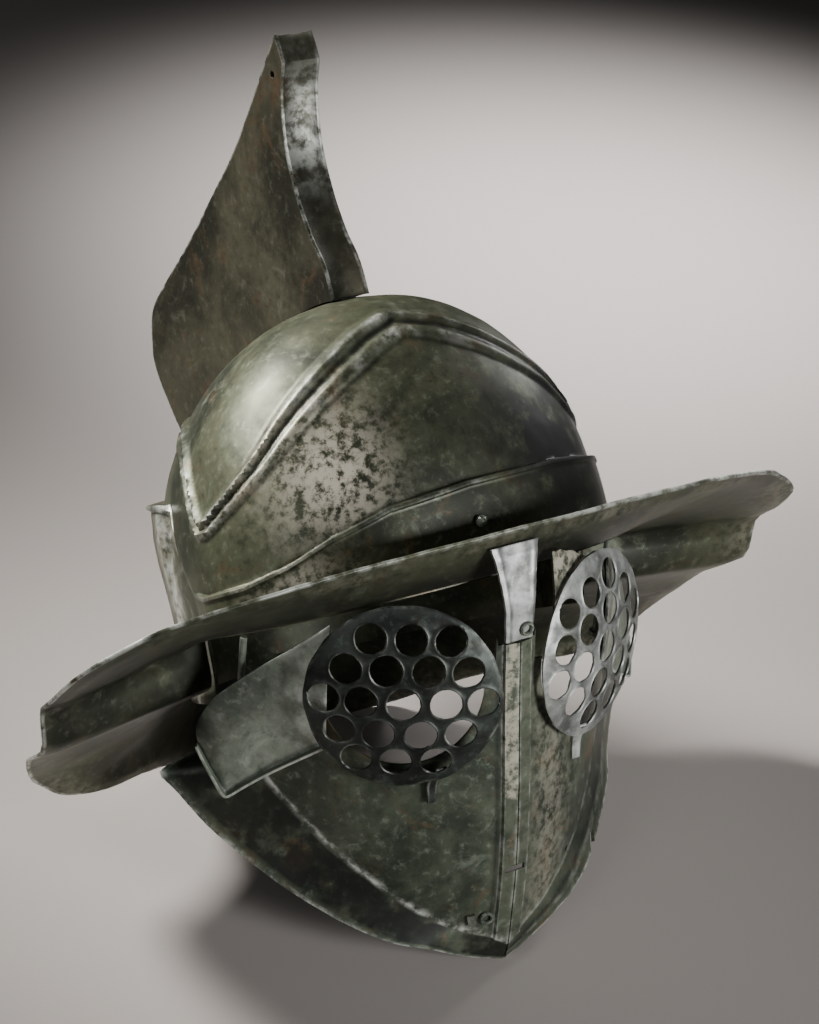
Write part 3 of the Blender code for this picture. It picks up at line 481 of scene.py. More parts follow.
points = [p for row, _ in rows for p in row]
looks = [look for _, row in rows for look in row]
faces = grid_faces(len(rows), len(TURNS), closed=True)
apex = len(points)
points.append(bowl_point(0, BOWL_HEIGHT))
looks.append({})
last = apex - len(TURNS)
faces += [(last + i, last + (i + 1) % len(TURNS), apex) for i in range(len(TURNS))]
bowl = new_piece("bowl_sheet", points, faced_out(points, faces, (0, 30 * MM, 40 * MM)), looks, "shell",
                 "bowl", SHEET)
bowl.data.materials.append(FINISH["bowl"])
print("bowl:", len(points), "points")

# %% [markdown]
# ## The brim
# The brim is one sheet that dips at both sides into wings and runs back to a neck guard. Its edge is
# hammered into a thin lip that catches the light. Sections from the bowl to the outer edge follow one
# table, and smooth curves between them give the sweep that the smith's hammer gave.

# %% The brim's sections
BRIM_LIP, BRIM_ROLL = 9 * MM, 1.5 * MM
BRIM = (
    # angle at the bowl, outer edge across, back and up, and the height of the inner edge
    (0, 0.0, -1.0, 0.05, -0.17), (14, 0.098, -0.991, 0.05, -0.17), (28, 0.196, -0.97, 0.05, -0.17),
    (44, 0.387, -0.922, 0.041, -0.17), (58, 0.593, -0.875, 0.028, -0.17), (68, 0.735, -0.815, 0.008, -0.17),
    (75, 0.83, -0.74, -0.02, -0.17), (81, 0.93, -0.6, -0.095, -0.17), (86, 1.005, -0.45, -0.185, -0.17),
    (89, 1.022, -0.28, -0.262, -0.17), (93, 1.01, -0.12, -0.314, -0.17), (97, 1.0, 0.014, -0.535, -0.44),
    (102, 0.978, 0.196, -0.585, -0.47), (109, 0.945, 0.32, -0.67, -0.49), (117, 0.895, 0.43, -0.77, -0.51),
    (125, 0.8, 0.5, -0.9, -0.53), (133, 0.69, 0.53, -0.935, -0.54), (141, 0.57, 0.585, -0.915, -0.55),
    (150, 0.47, 0.69, -0.93, -0.55), (160, 0.37, 0.86, -0.97, -0.55), (168, 0.3, 0.985, -1.0, -0.55),
    (174, 0.15, 1.0, -1.0, -0.55), (180, 0.0, 1.0, -1.0, -0.55),
)
BRIM_TURNS = [-180 + 1.2 * i for i in range(300)]
LIP_STEPS = (0.0, 0.3, 0.55, 0.75, 0.88, 1.0)
BROAD_STEPS = 16


def brim_section(angle):
    across, back, up, inner = (along(BRIM, abs(angle), c) for c in (1, 2, 3, 4))
    top = band_top(angle)
    start = bowl_point(angle, 0.0, band_out(angle, 0.0, top) + SHEET / 2 + GAP)
    start.z = inner * BRIM_DROP
    reach = BRIM_FRONT if back < 0 else BRIM_BACK
    end = Vector((math.copysign(across, angle) * BRIM_HALF_WIDTH, back * reach, up * BRIM_DROP))
    lip = min(BRIM_LIP / (end - start).length, 0.4)
    crease = start.lerp(end, 1 - lip)
    crease.z -= BRIM_ROLL
    row = [start.lerp(crease, i / BROAD_STEPS) for i in range(BROAD_STEPS)]
    return row + [crease.lerp(end, s) for s in LIP_STEPS]


points, looks = [], []
for angle in BRIM_TURNS:
    section = brim_section(angle)
    for i, p in enumerate(section):
        share = i / (len(section) - 1)
        wave = 1.1 * MM * rough(p, 55 * MM, 5.0) * share + 0.3 * MM * rough(p, 14 * MM, 7.0)
        ragged = 0.7 * MM * rough(p, 6 * MM, 2.0) if i == len(section) - 1 else 0.0
        outward = Vector((p.x, p.y, 0)).normalized()
        points.append(p + Vector((0, 0, wave)) + outward * ragged)
        # The outer edge is bright from wear and painted highlight, the band by the lip a little pale in
        # patches as painted light, and the sheet near the bowl dark as painted shade, most at the front and
        # the viewer's left, on both faces.
        at_edge = 1.0 if i >= len(section) - 2 else 0.0
        looks.append({"wear_and_highlight": at_edge * (0.75 + 0.6 * rough(p, 30 * MM)),
                      "pale": 0.25 * bump(share - 0.82, 0.12) * max(0.0, 0.4 + rough(p, 26 * MM)),
                      "dark": (0.75 if abs(angle) < 100 and angle < 40 else 0.3) * bump(share, 0.55)})
columns = len(points) // len(BRIM_TURNS)
faces = grid_faces(len(BRIM_TURNS), columns)
for c in range(columns - 1):
    faces.append((len(points) - columns + c, len(points) - columns + c + 1, c + 1, c))
brim = new_piece("brim_sheet", points, faces, looks, "shell", "brim", SHEET, offset=0)
brim.data.materials.append(FINISH["brim"])
print("brim:", len(points), "points")

# %% [markdown]
# ## The crest
# The fin is a flat box of thin sheet, open below, with a narrow strip all round its edge. Both sides
# stand a hair proud of the strip, which shows as two bright lines. The outline is rounded with a
# smooth curve and its foot is cut to the bowl by a Boolean, as it was filed to fit.

# %% The crest's outline
CREST_LENGTH, CREST_HEIGHT, CREST_THICK = 210 * MM, 135 * MM, 21 * MM
CREST_FOOT = (-9 * MM, 122 * MM)
CREST = (
    # back, up, 1 where the corner stays sharp
    (0.0, -0.25, 1), (0.0, 0.12, 0), (0.033, 0.28, 0), (0.052, 0.43, 0), (0.052, 0.61, 0), (0.019, 0.785, 0),
    (-0.024, 0.895, 1), (-0.016, 1.0, 1), (0.1, 0.88, 1), (0.286, 0.69, 0), (0.46, 0.555, 0),
    (0.638, 0.422, 0), (0.819, 0.304, 0), (0.924, 0.222, 0), (0.971, 0.104, 0), (0.986, -0.022, 0),
    (0.929, -0.274, 0), (0.83, -0.53, 0), (0.705, -0.72, 1), (0.5, -0.6, 1),
)
CREST_STEPS = 7
STRIP_SINK = 0.5 * MM
STRIP_EDGE = 1.4 * MM
SIDE_BORDER = 1.2 * MM


def crest_curve():
    """The outline, with smooth curves through every corner that isn't sharp."""
    foot = Vector(CREST_FOOT)
    corners = [foot + Vector((back * CREST_LENGTH, up * CREST_HEIGHT)) for back, up, _ in CREST]
    curve = []
    for i, here in enumerate(corners):
        after = corners[(i + 1) % len(corners)]
        far = corners[(i + 2) % len(corners)]
        lead = (after - here) if CREST[i][2] else (after - corners[i - 1]) / 2
        leave = (after - here) if CREST[(i + 1) % len(corners)][2] else (far - here) / 2
        for k in range(CREST_STEPS):
            t = k / CREST_STEPS
            curve.append(here * (1 + 2 * t) * (1 - t) ** 2 + after * t * t * (3 - 2 * t)
                         + lead * t * (1 - t) ** 2 - leave * t * t * (1 - t))
    return curve


def build_crest():
    curve = crest_curve()
    count = len(curve)
    half = CREST_THICK / 2
    inside = []
    for i, here in enumerate(curve):
        ahead = (curve[(i + 1) % count] - curve[i - 1]).normalized()
        inside.append(Vector((-ahead.y, ahead.x)))
    if sum(a.x * b.y - b.x * a.y for a, b in zip(curve, curve[1:] + curve[:1])) < 0:
        inside = [-v for v in inside]
    step = half - 1.6 * STRIP_EDGE
    strip = ((-half, SIDE_BORDER), (-half, 0.0), (-half + STRIP_EDGE, 0.0), (-step, STRIP_SINK),
             (0.0, 1.4 * STRIP_SINK), (step, STRIP_SINK), (half - STRIP_EDGE, 0.0), (half, 0.0),
             (half, SIDE_BORDER))
    bm_points, bm_looks = [], []
    for x, sink in strip:
        for here, inward in zip(curve, inside):
            p = here + inward * sink
            bm_points.append((x, p.x, p.y))
            # The side rims are bright with wear; a patch of the front strip about two thirds up is painted
            # bright as a highlight.
            wear_and_highlight = 0.8 if abs(x) > half - 1.2 * STRIP_EDGE and sink < SIDE_BORDER else 0.0
            high = (p.y - CREST_FOOT[1]) / CREST_HEIGHT
            forward = bump(p.x - CREST_FOOT[0], 40 * MM)
            bm_looks.append({"wear_and_highlight": wear_and_highlight * (0.7 + 0.5 * rough((p.x, p.y, 0), 20 * MM))
                             + 0.75 * forward * bump(high - 0.68, 0.18) * (abs(x) < half)})
    bm_faces = grid_faces(len(strip), count, closed=True)
    bm_faces.append(tuple(range(count)))
    bm_faces.append(tuple(len(bm_points) - 1 - i for i in range(count)))
    bm = bmesh.new()
    verts = [bm.verts.new(p) for p in bm_points]
    for face in bm_faces:
        bm.faces.new([verts[i] for i in face])
    bmesh.ops.recalc_face_normals(bm, faces=bm.faces)
    bm.verts.index_update()
    ordered = [tuple(v.index for v in face.verts) for face in bm.faces]
    bm.free()
    return bm_points, ordered, bm_looks


points, faces, looks = build_crest()
crest = new_piece("crest_fin", points, faces, looks, "shell", "crest", edge=0)
crest.data.materials.append(FINISH["crest"])

# %% The crest's foot and its rivet hole
CREST_HOLE = (-2 * MM, 240 * MM, 1.8 * MM)
CREST_GAP = 0.9 * MM


def hidden_tool(name, points, faces):
    """A closed mesh that only cuts other pieces."""
    mesh = bpy.data.meshes.new(name)
    mesh.from_pydata([REST @ Vector(p) for p in points], [], faces)
    tool = bpy.data.objects.new(name, mesh)
    bpy.context.scene.collection.objects.link(tool)
    bm = bmesh.new()
    bm.from_mesh(mesh)
    bmesh.ops.recalc_face_normals(bm, faces=bm.faces)
    bm.to_mesh(mesh)
    bm.free()
    return tool


def rod_tool(name, start, end, radius, sides=40):
    """A round cutter from one point to another."""
    turn = (end - start).to_track_quat("Z", "Y")
    points = []
    for place in (start, end):
        for i in range(sides):
            a = 2 * math.pi * i / sides
            points.append(place + turn @ Vector((radius * math.cos(a), radius * math.sin(a), 0)))
    faces = grid_faces(2, sides, closed=True)
    faces += [tuple(range(sides)), tuple(range(2 * sides - 1, sides - 1, -1))]
    return hidden_tool(name, points, faces)


def cut_and_drop(piece, tools):
    """Cuts the piece with each tool, keeps the result as its mesh and deletes the tools."""
    for tool in tools:
        mod = piece.modifiers.new(tool.name, "BOOLEAN")
        mod.operation = "DIFFERENCE"
        mod.solver = "EXACT"
        mod.object = tool
    graph = bpy.context.evaluated_depsgraph_get()
    mesh = bpy.data.meshes.new_from_object(piece.evaluated_get(graph))
    old = piece.data
    piece.modifiers.clear()
    piece.data = mesh
    bpy.data.meshes.remove(old)
    for tool in tools:
        bpy.data.objects.remove(tool)


def filled_bowl():
    """The bowl as a closed body, a little larger, without its ribs."""
    turns = [-180 + 3 * i for i in range(120)]
    proud = 2.65 * BAND_PROUD
    top = BAND[0][1] * BOWL_HEIGHT + CREST_GAP
    rows = [[bowl_point(a, 0.0, CREST_GAP + proud) + Vector((0, 0, BOWL_RIM_BACK)) for a in turns]]
    for share in (0.0, 0.5, 0.8, 1.0):
        rows.append([bowl_point(a, share * top, CREST_GAP + proud) for a in turns])
    start = math.asin(top / BOWL_HEIGHT) + 0.01
    for i in range(30):
        height = BOWL_HEIGHT * math.sin(start + (math.pi / 2 - start) * i / 30)
        rows.append([bowl_point(a, height, CREST_GAP) for a in turns])
    points = [p for row in rows for p in row]
    faces = grid_faces(len(rows), len(turns), closed=True)
    faces.append(tuple(range(len(turns))))
    points.append(Vector((0, 0, BOWL_HEIGHT + CREST_GAP)))
    base = len(points) - 1 - len(turns)
    faces += [(base + i, base + (i + 1) % len(turns), len(points) - 1) for i in range(len(turns))]
    return hidden_tool("filled_bowl", points, faces)


back, height, radius = CREST_HOLE
rivet_hole = rod_tool("rivet_hole", *(Vector((s * CREST_THICK, back, height)) for s in (-1, 1)), radius, 24)
cut_and_drop(crest, [filled_bowl(), rivet_hole])
crest.data.shade_smooth()
crest.data.set_sharp_from_angle(angle=math.radians(30))
rounding = crest.modifiers.new("handled edge", "BEVEL")
rounding.width = 0.4 * MM
rounding.segments = 2
rounding.limit_method = "ANGLE"
rounding.angle_limit = math.radians(60)
print("crest:", len(crest.data.vertices), "points")

# %% [markdown]
# ## The face of the visor
# The visor is two cheek plates that meet at a keel. A flat band runs down the keel, and at the lower
# edge each plate turns out into a flange. One formula gives the face's place for every distance across
# and down, so plates, grilles and bands all lie true to each other.

# %% The face as a formula
VISOR_HEIGHT, VISOR_REACH = 195 * MM, 100 * MM
KEEL_HALF, KEEL_PROUD, KEEL_ROOF = 7.5 * MM, 1.4 * MM, 1.3 * MM
CHEEK_SLOPE, CHEEK_CURVE, CHEEK_TURN, CHEEK_LEAST = 0.38, 4.5, 3, 9 * MM
KEEL = ((0.04, 1.03), (0.15, 0.97), (0.24, 0.885), (0.38, 0.76), (0.63, 0.545), (0.79, 0.39),
        (0.94, 0.215), (1.0, 0.14))
FLANGE = (
    # across, down, then the flange's outer edge across, back and down
    (0.0, 0.955, 0.0, -0.1, 1.0), (0.05, 0.928, 0.088, -0.1, 0.97), (0.103, 0.9, 0.191, -0.1, 0.921),
    (0.181, 0.847, 0.275, -0.05, 0.88), (0.255, 0.773, 0.348, 0.01, 0.823), (0.319, 0.695, 0.407, 0.07, 0.764),
    (0.368, 0.626, 0.475, 0.14, 0.685), (0.417, 0.542, 0.534, 0.24, 0.596), (0.446, 0.488, 0.603, 0.29, 0.488),
    (0.47, 0.44, 0.647, 0.29, 0.409), (0.485, 0.405, 0.676, 0.3, 0.362), (0.515, 0.345, 0.59, 0.25, 0.33),
)
CHEEK_REAR = ((0.527, 0.3), (0.535, 0.22))
CHEEK_TOP = ((0.0, 0.232), (0.05, 0.232), (0.075, 0.12), (0.105, 0.05), (0.2, 0.066), (0.27, 0.094),
             (0.36, 0.11), (0.44, 0.13), (0.48, 0.145), (0.52, 0.185), (0.54, 0.215))
WIDTHS = [(d, a) for a, d in reversed(CHEEK_REAR)] + [(row[1], row[0]) for row in reversed(FLANGE)]
LOWER = [row[:2] for row in FLANGE] + list(CHEEK_REAR)


def face_back(across, down):
    past = max(abs(across) - KEEL_HALF, 0.0)
    wide = max(straight(WIDTHS, down / FLANGE_DROP, 1) * BRIM_HALF_WIDTH - KEEL_HALF, CHEEK_LEAST)
    forward = along(KEEL, down / VISOR_HEIGHT, 1) * VISOR_REACH
    return -forward + CHEEK_SLOPE * past + CHEEK_CURVE * wide**2 * (past / wide) ** CHEEK_TURN


def face_normal(across, down):
    step = 0.5 * MM
    sideways = face_back(across + step, down) - face_back(across - step, down)
    lower = face_back(across, down + step) - face_back(across, down - step)
    if abs(across) <= KEEL_HALF:
        sideways = 0.0
    return Vector((sideways, -2 * step, -lower)).normalized()


def face_point(across, down, out=0.0):
    return Vector((across, face_back(across, down), -down)) + out * face_normal(across, down)


# %% [markdown]
# ## The cheek plates
# Each plate is a grid from the keel back to the hinge. The band on the keel stands proud with crisp
# shoulders and a low roof, so that each half of it catches the light on its own. The eye opening, the
# slot in the keel and the small hole are cut with Booleans, as a smith would punch them.

# %% The cheek plates' points
EYE_RADIUS = 38 * MM
GRILLE_ACROSS, GRILLE_DOWN = 51 * MM, 58 * MM
EYE_NOTCH = {-1: (11 * MM, 58 * MM), 1: (11 * MM, 25 * MM)}
KEEL_SLOT = (5.5 * MM, 156.5 * MM, 2.4 * MM)
CHEEK_HOLE = (45 * MM, 160 * MM, 1.6 * MM)
FLANGE_NICK = 2.6 * MM
CHEEK_ROWS, FLANGE_ROWS = 84, 12


def cheek_columns():
    """Distances across, close together at the keel band's shoulder."""
    shoulder = [KEEL_HALF + k * MM for k in (-1.2, -0.5, -0.25, 0.0, 0.25, 0.6, 1.4)]
    inner = [GAP + i * (shoulder[0] - GAP) / 4 for i in range(4)]
    first, last = shoulder[-1] + 1.2 * MM, CHEEK_REAR[-1][0] * BRIM_HALF_WIDTH
    outer = [first + (last - first) * i / 72 for i in range(73)]
    return inner + shoulder + outer


def keel_out(across):
    """How far the keel band stands out at this distance across."""
    shoulder = min(max((KEEL_HALF + 0.25 * MM - across) / (0.5 * MM), 0.0), 1.0)
    return shoulder * (KEEL_PROUD + KEEL_ROOF * max(0.0, 1 - across / KEEL_HALF))


def cheek_grid(side):
    points, looks, counts = [], [], []
    end = FLANGE[-1][0] * BRIM_HALF_WIDTH
    for across in cheek_columns():
        share = across / BRIM_HALF_WIDTH
        top = straight(CHEEK_TOP, share, 1) * FLANGE_DROP
        low = along(LOWER, share, 1) * FLANGE_DROP
        torn = 1.2 * MM * rough((across, side, 0), 5 * MM) if across > KEEL_HALF else 0.0
        column = []
        for i in range(CHEEK_ROWS + 1):
            down = top + torn * (1 - i / CHEEK_ROWS) ** 6 + (low - top) * i / CHEEK_ROWS
            wave = 0.5 * MM * rough((side * across, 0, down), 34 * MM) if across > KEEL_HALF + 2 * MM else 0.0
            column.append(face_point(side * across, down, keel_out(across) + wave))
            fold = bump(i - CHEEK_ROWS, 1.1)
            on_band = across < KEEL_HALF + 0.2 * MM
            ridge = bump(across - KEEL_HALF, 0.7 * MM) + bump(across, 1.1 * MM)
            above_eye = side > 0 and down < 24 * MM and not on_band
            # Painted light and shade: the left half of the keel band is pale as painted light, the right cheek
            # beside the keel a little pale as painted light, the band's shoulders, roof and the bottom fold
            # bright as highlight and wear, the strip just left of the band dark as painted shade, and the
            # cheek behind the grille's back edge and the temple plate dark as painted shade.
            looks.append({
                "wear_and_highlight": 0.9 * fold * (side < 0) + 0.5 * fold + (0.55 if side < 0 else 0.7) * ridge,
                "pale": 0.75 * above_eye + 0.55 * (on_band and side < 0 and down < 120 * MM)
                + 0.3 * bump(across - 25 * MM, 14 * MM) * (side > 0),
                "dark": 0.7 * bump(across - KEEL_HALF - 2.2 * MM, 1.3 * MM) * (side < 0)
                + 0.5 * bump(down - 60 * MM, 40 * MM) * bump(across - 85 * MM, 16 * MM),
            })
        if across <= end:
            x, back, down = (along(FLANGE, share, c) for c in (2, 3, 4))
            edge = Vector((side * max(x * BRIM_HALF_WIDTH, GAP), back * VISOR_REACH, -down * FLANGE_DROP))
            root = column[-1]
            for i in range(1, FLANGE_ROWS + 1):
                s = i / FLANGE_ROWS
                p = root.lerp(edge, s)
                column.append(p + Vector((0, 0, 0.35 * MM * rough(p, 12 * MM))))
                double = bump(s - 0.62, 0.05) * (side > 0)
                # The flange is painted near black on the left and dim on the right as shade under the visor;
                # its outer edge is bright from wear and painted highlight.
                looks.append({"wear_and_highlight": 0.95 * (i == FLANGE_ROWS) + 0.6 * double, "pale": 0.0,
                              "dark": (0.85 if side < 0 else 0.25) * (i < FLANGE_ROWS - 1)
                              + 0.5 * bump(s - 0.45, 0.12) * (side > 0)})
        counts.append(len(column))
        points += column
    faces, base = [], 0
    for here, after in zip(counts, counts[1:]):
        for i in range(min(here, after) - 1):
            faces.append((base + i, base + i + 1, base + here + i + 1, base + here + i))
        base += here
    return points, faces, looks


# %% The cheek plates, cut
def box_tool(name, middle, size):
    corners = [Vector((x, y, z)) for x in (-0.5, 0.5) for y in (-0.5, 0.5) for z in (-0.5, 0.5)]
    points = [middle + Vector((c.x * size[0], c.y * size[1], c.z * size[2])) for c in corners]
    faces = [(0, 1, 3, 2), (4, 6, 7, 5), (0, 4, 5, 1), (2, 3, 7, 6), (0, 2, 6, 4), (1, 5, 7, 3)]
    return hidden_tool(name, points, faces)


def cheek_tools(side):
    """The round eye opening, its notch up to the top edge, and the slot in the keel."""
    normal = face_normal(side * GRILLE_ACROSS, GRILLE_DOWN)
    middle = face_point(side * GRILLE_ACROSS, GRILLE_DOWN)
    eye = rod_tool("eye", middle - normal * EYE_RADIUS, middle + normal * EYE_RADIUS, EYE_RADIUS, 72)
    inner, outer = EYE_NOTCH[side]
    notch = box_tool("notch", Vector((side * (inner + outer) / 2, -VISOR_REACH * 0.8, -GRILLE_DOWN / 2)),
                     (outer - inner, VISOR_REACH, GRILLE_DOWN))
    half, down, tall = KEEL_SLOT
    slot = box_tool("slot", face_point(0.0, down), (2 * half, 12 * SHEET, tall))
    tools = [eye, notch, slot]
    if side > 0:
        across, down, radius = CHEEK_HOLE
        ends = [face_point(across, down, out) for out in (-6 * SHEET, 6 * SHEET)]
        tools.append(rod_tool("cheek_hole", *ends, radius, 20))
        _, _, x, back, down = FLANGE[4]
        edge = Vector((x * BRIM_HALF_WIDTH, back * VISOR_REACH, -down * FLANGE_DROP))
        rise = Vector((0, 0, 5 * SHEET))
        tools.append(rod_tool("nick", edge - rise, edge + rise, FLANGE_NICK, 16))
    return tools


for side, word in ((-1, "left"), (1, "right")):
    points, faces, looks = cheek_grid(side)
    faces = faced_out(points, faces, (0, 20 * MM, -60 * MM))
    cheek = new_piece("cheek_sheet_" + word, points, faces, looks, "visor_" + word, "cheek_plate_" + word,
                      SHEET, edge=0)
    cheek.data.materials.append(FINISH["cheek"])
    cut_and_drop(cheek, cheek_tools(side))
    cheek.data.shade_smooth()
    cheek.data.set_sharp_from_angle(angle=math.radians(34))
    print("cheek plate", word, len(cheek.data.vertices), "points")

# %% [markdown]
# ## The eye grilles
# Each grille is a shallow dome with nineteen punched holes in columns of three, four, five, four and
# three. A Boolean for each hole would leave hard edges, so the disc is triangulated round the holes
# instead, with two rings of points at each hole that make the small burr of the punch.

# %% The grilles' shape
GRILLE_RADIUS, GRILLE_STAND, GRILLE_DOME, GRILLE_TILT = 46 * MM, 5.5 * MM, 8 * MM, 20.5
GRILLE_SET = {-1: (35.0, 12.0), 1: (26.0, 6.0)}
HOLE_RADIUS, HOLE_COLUMN, HOLE_STEP, HOLE_SQUEEZE = 7.7 * MM, 17.6 * MM, 18.6 * MM, 0.07
HOLE_COLUMNS = (3, 4, 5, 4, 3)
TAB = (6 * MM, 15 * MM)
RAGGED = {-1: 1.3 * MM, 1: 0.6 * MM}


def grille_frame(side):
    """Middle, outward normal, sideways and upward directions of a grille."""
    turn, spin = (math.radians(a) for a in GRILLE_SET[side])
    tilt = math.radians(GRILLE_TILT)
    level = math.cos(tilt)
    normal = Vector((side * math.sin(turn) * level, -math.cos(turn) * level, -math.sin(tilt)))
    sideways = side * Vector((0, 0, 1)).cross(normal).normalized()
    upward = sideways.cross(normal) * side
    if upward.z < 0:
        upward = -upward
    turned = Matrix.Rotation(-side * spin, 3, normal)
    middle = face_point(side * GRILLE_ACROSS, GRILLE_DOWN, GRILLE_STAND)
    return middle, normal, turned @ sideways, turned @ upward


def grille_point(where, x, y, out=0.0):
    middle, normal, sideways, upward = where
    dome = GRILLE_DOME * (1 - (x**2 + y**2) / GRILLE_RADIUS**2)
    return middle + x * sideways + y * upward + (dome + out) * normal


def grille_holes():
    """Middle and radius of each hole, drawn in a little towards the rim."""
    holes = []
    for column, count in enumerate(HOLE_COLUMNS):
        for step in range(count):
            x, y = (column - 2) * HOLE_COLUMN, (step - (count - 1) / 2) * HOLE_STEP
            far = math.hypot(x, y) / (2 * HOLE_STEP)
            pull = 1 - HOLE_SQUEEZE * far**2
            holes.append((x * pull, y * pull, HOLE_RADIUS * (1 - HOLE_SQUEEZE * far)))
    return holes


def grille_mesh(side):
    flat, kind = [], []
    sides = 96
    for i in range(sides):
        a = 2 * math.pi * i / sides
        bite = RAGGED[side] * (rough((3 * math.cos(a), 3 * math.sin(a), side), 0.55)
                               + 0.6 * rough((9 * math.cos(a), 9 * math.sin(a), side), 0.8))
        for share, name in ((1.0, "rim"), (0.965, "near rim")):
            reach = GRILLE_RADIUS * share + min(bite, 0.3 * MM)
            flat.append(Vector((reach * math.cos(a), reach * math.sin(a))))
            kind.append(name)
    holes = grille_holes()
    segments = 32
    for number, (x, y, radius) in enumerate(holes):
        for i in range(segments):
            a = 2 * math.pi * i / segments
            wobble = 1 + 0.035 * rough((math.cos(a) * 2 + number, math.sin(a) * 2, side), 1.0)
            for grow, name in ((0.0, "lip"), (0.55 * MM, "burr"), (1.15 * MM, "plain")):
                reach = radius * wobble + grow
                flat.append(Vector((x + reach * math.cos(a), y + reach * math.sin(a))))
                kind.append(name)
    spacing = 2.4 * MM
    steps = int(GRILLE_RADIUS / spacing)
    for i in range(-steps, steps + 1):
        for j in range(-steps, steps + 1):
            p = Vector((i * spacing + 0.3 * MM * (j % 2), j * spacing))
            if p.length > GRILLE_RADIUS * 0.93:
                continue
            if all((p - Vector((x, y))).length > radius + 1.9 * MM for x, y, radius in holes):
                flat.append(p)
                kind.append("plain")
    verts, _, tris, origins = geometry.delaunay_2d_cdt(flat, [], [], 0, 1e-7)[:4]
    words = [kind[o[0]] if o else "plain" for o in origins]
    kept = []
    for tri in tris:
        middle = sum((verts[i] for i in tri), Vector((0, 0))) / 3
        if any((middle - Vector((x, y))).length < radius * 0.985 and all(words[i] == "lip" for i in tri)
               for x, y, radius in holes):
            continue
        kept.append(tri)
    return verts, words, kept


rises = {"lip": -0.25 * MM, "burr": 0.35 * MM, "plain": 0.0, "rim": -0.5 * MM, "near rim": 0.0}
# The left grille gets the black finish, painted shade, and the right the pale silver one, painted light.
for side, word, finish in ((-1, "left", "grille_shaded"), (1, "right", "grille_lit")):
    where = grille_frame(side)
    verts, words, tris = grille_mesh(side)
    points, looks = [], []
    for v, name in zip(verts, words):
        wave = 0.35 * MM * rough((v.x, v.y, side), 9 * MM)
        points.append(grille_point(where, v.x, v.y, rises[name] + wave))
        toward_keel = -v.x / GRILLE_RADIUS
        bright = {"lip": 0.9, "burr": 0.25, "rim": 0.5}.get(name, 0.0)
        if side < 0:
            looks.append({"wear_and_highlight": bright * max(0.0, 0.35 + rough((v.x, v.y, 0), 14 * MM) * 1.2),
                          "dark": 0.45 * bump(v.length, 30 * MM)})
        else:
            looks.append({"wear_and_highlight": 0.5 * bright, "dark": 0.25 * (name == "lip") + 0.2 * max(toward_keel, 0.0)})
    middle = where[0] - 60 * MM * where[1]
    grille = new_piece("grille_" + word, points, faced_out(points, [tuple(t) for t in tris], middle), looks,
                       "visor_" + word, "eye_grille_" + word, THIN_SHEET, edge=0.25 * MM)
    grille.data.materials.append(FINISH[finish])
    print("grille", word, len(tris), "triangles")

# %% [markdown]
# ## The tabs below the grilles
# Each grille ends below in a narrow tab that was bent in to the cheek plate and riveted. It is a thin
# strip in three sections; the right one is rubbed bright and shares the right grille's painted-light finish.

# %% The grilles' tabs
for side, word, finish in ((-1, "left", "grille_shaded"), (1, "right", "grille_lit")):
    where = grille_frame(side)
    top = grille_point(where, 0.0, -GRILLE_RADIUS + 3 * SHEET, -THIN_SHEET / 2)
    points, looks = [], []
    steps = 10
    for i in range(steps + 1):
        share = i / steps
        down = -top.z + share * TAB[1]
        foot = face_point(side * abs(top.x), down, GAP + 1.0 * THIN_SHEET + 0.4 * MM)
        here = top.lerp(foot, min(share / 0.45, 1.0))
        half = TAB[0] / 2 * (1 - 0.25 * share + 0.1 * rough((share, side, 0), 0.3))
        for j in (-1, -0.5, 0, 0.5, 1):
            points.append(here + Vector((half * j, 0, 0)))
            looks.append({"wear_and_highlight": 0.7 * (abs(j) == 1) if side < 0 else 0.6, "dark": 0.5 * (side < 0)})
    faces = faced_out(points, grid_faces(steps + 1, 5), (0, 0, -80 * MM))
    tab = new_piece("grille_tab_" + word, points, faces, looks, "visor_" + word, None, THIN_SHEET,
                    edge=0.25 * MM)
    tab.data.materials.append(FINISH[finish])

# %% [markdown]
# ## The temple plates
# A plate covers the hinge on each side. Its lower edge is folded outwards into a narrow ledge, which
# shows as two pale parallel lines. Rows from front to back follow one table.

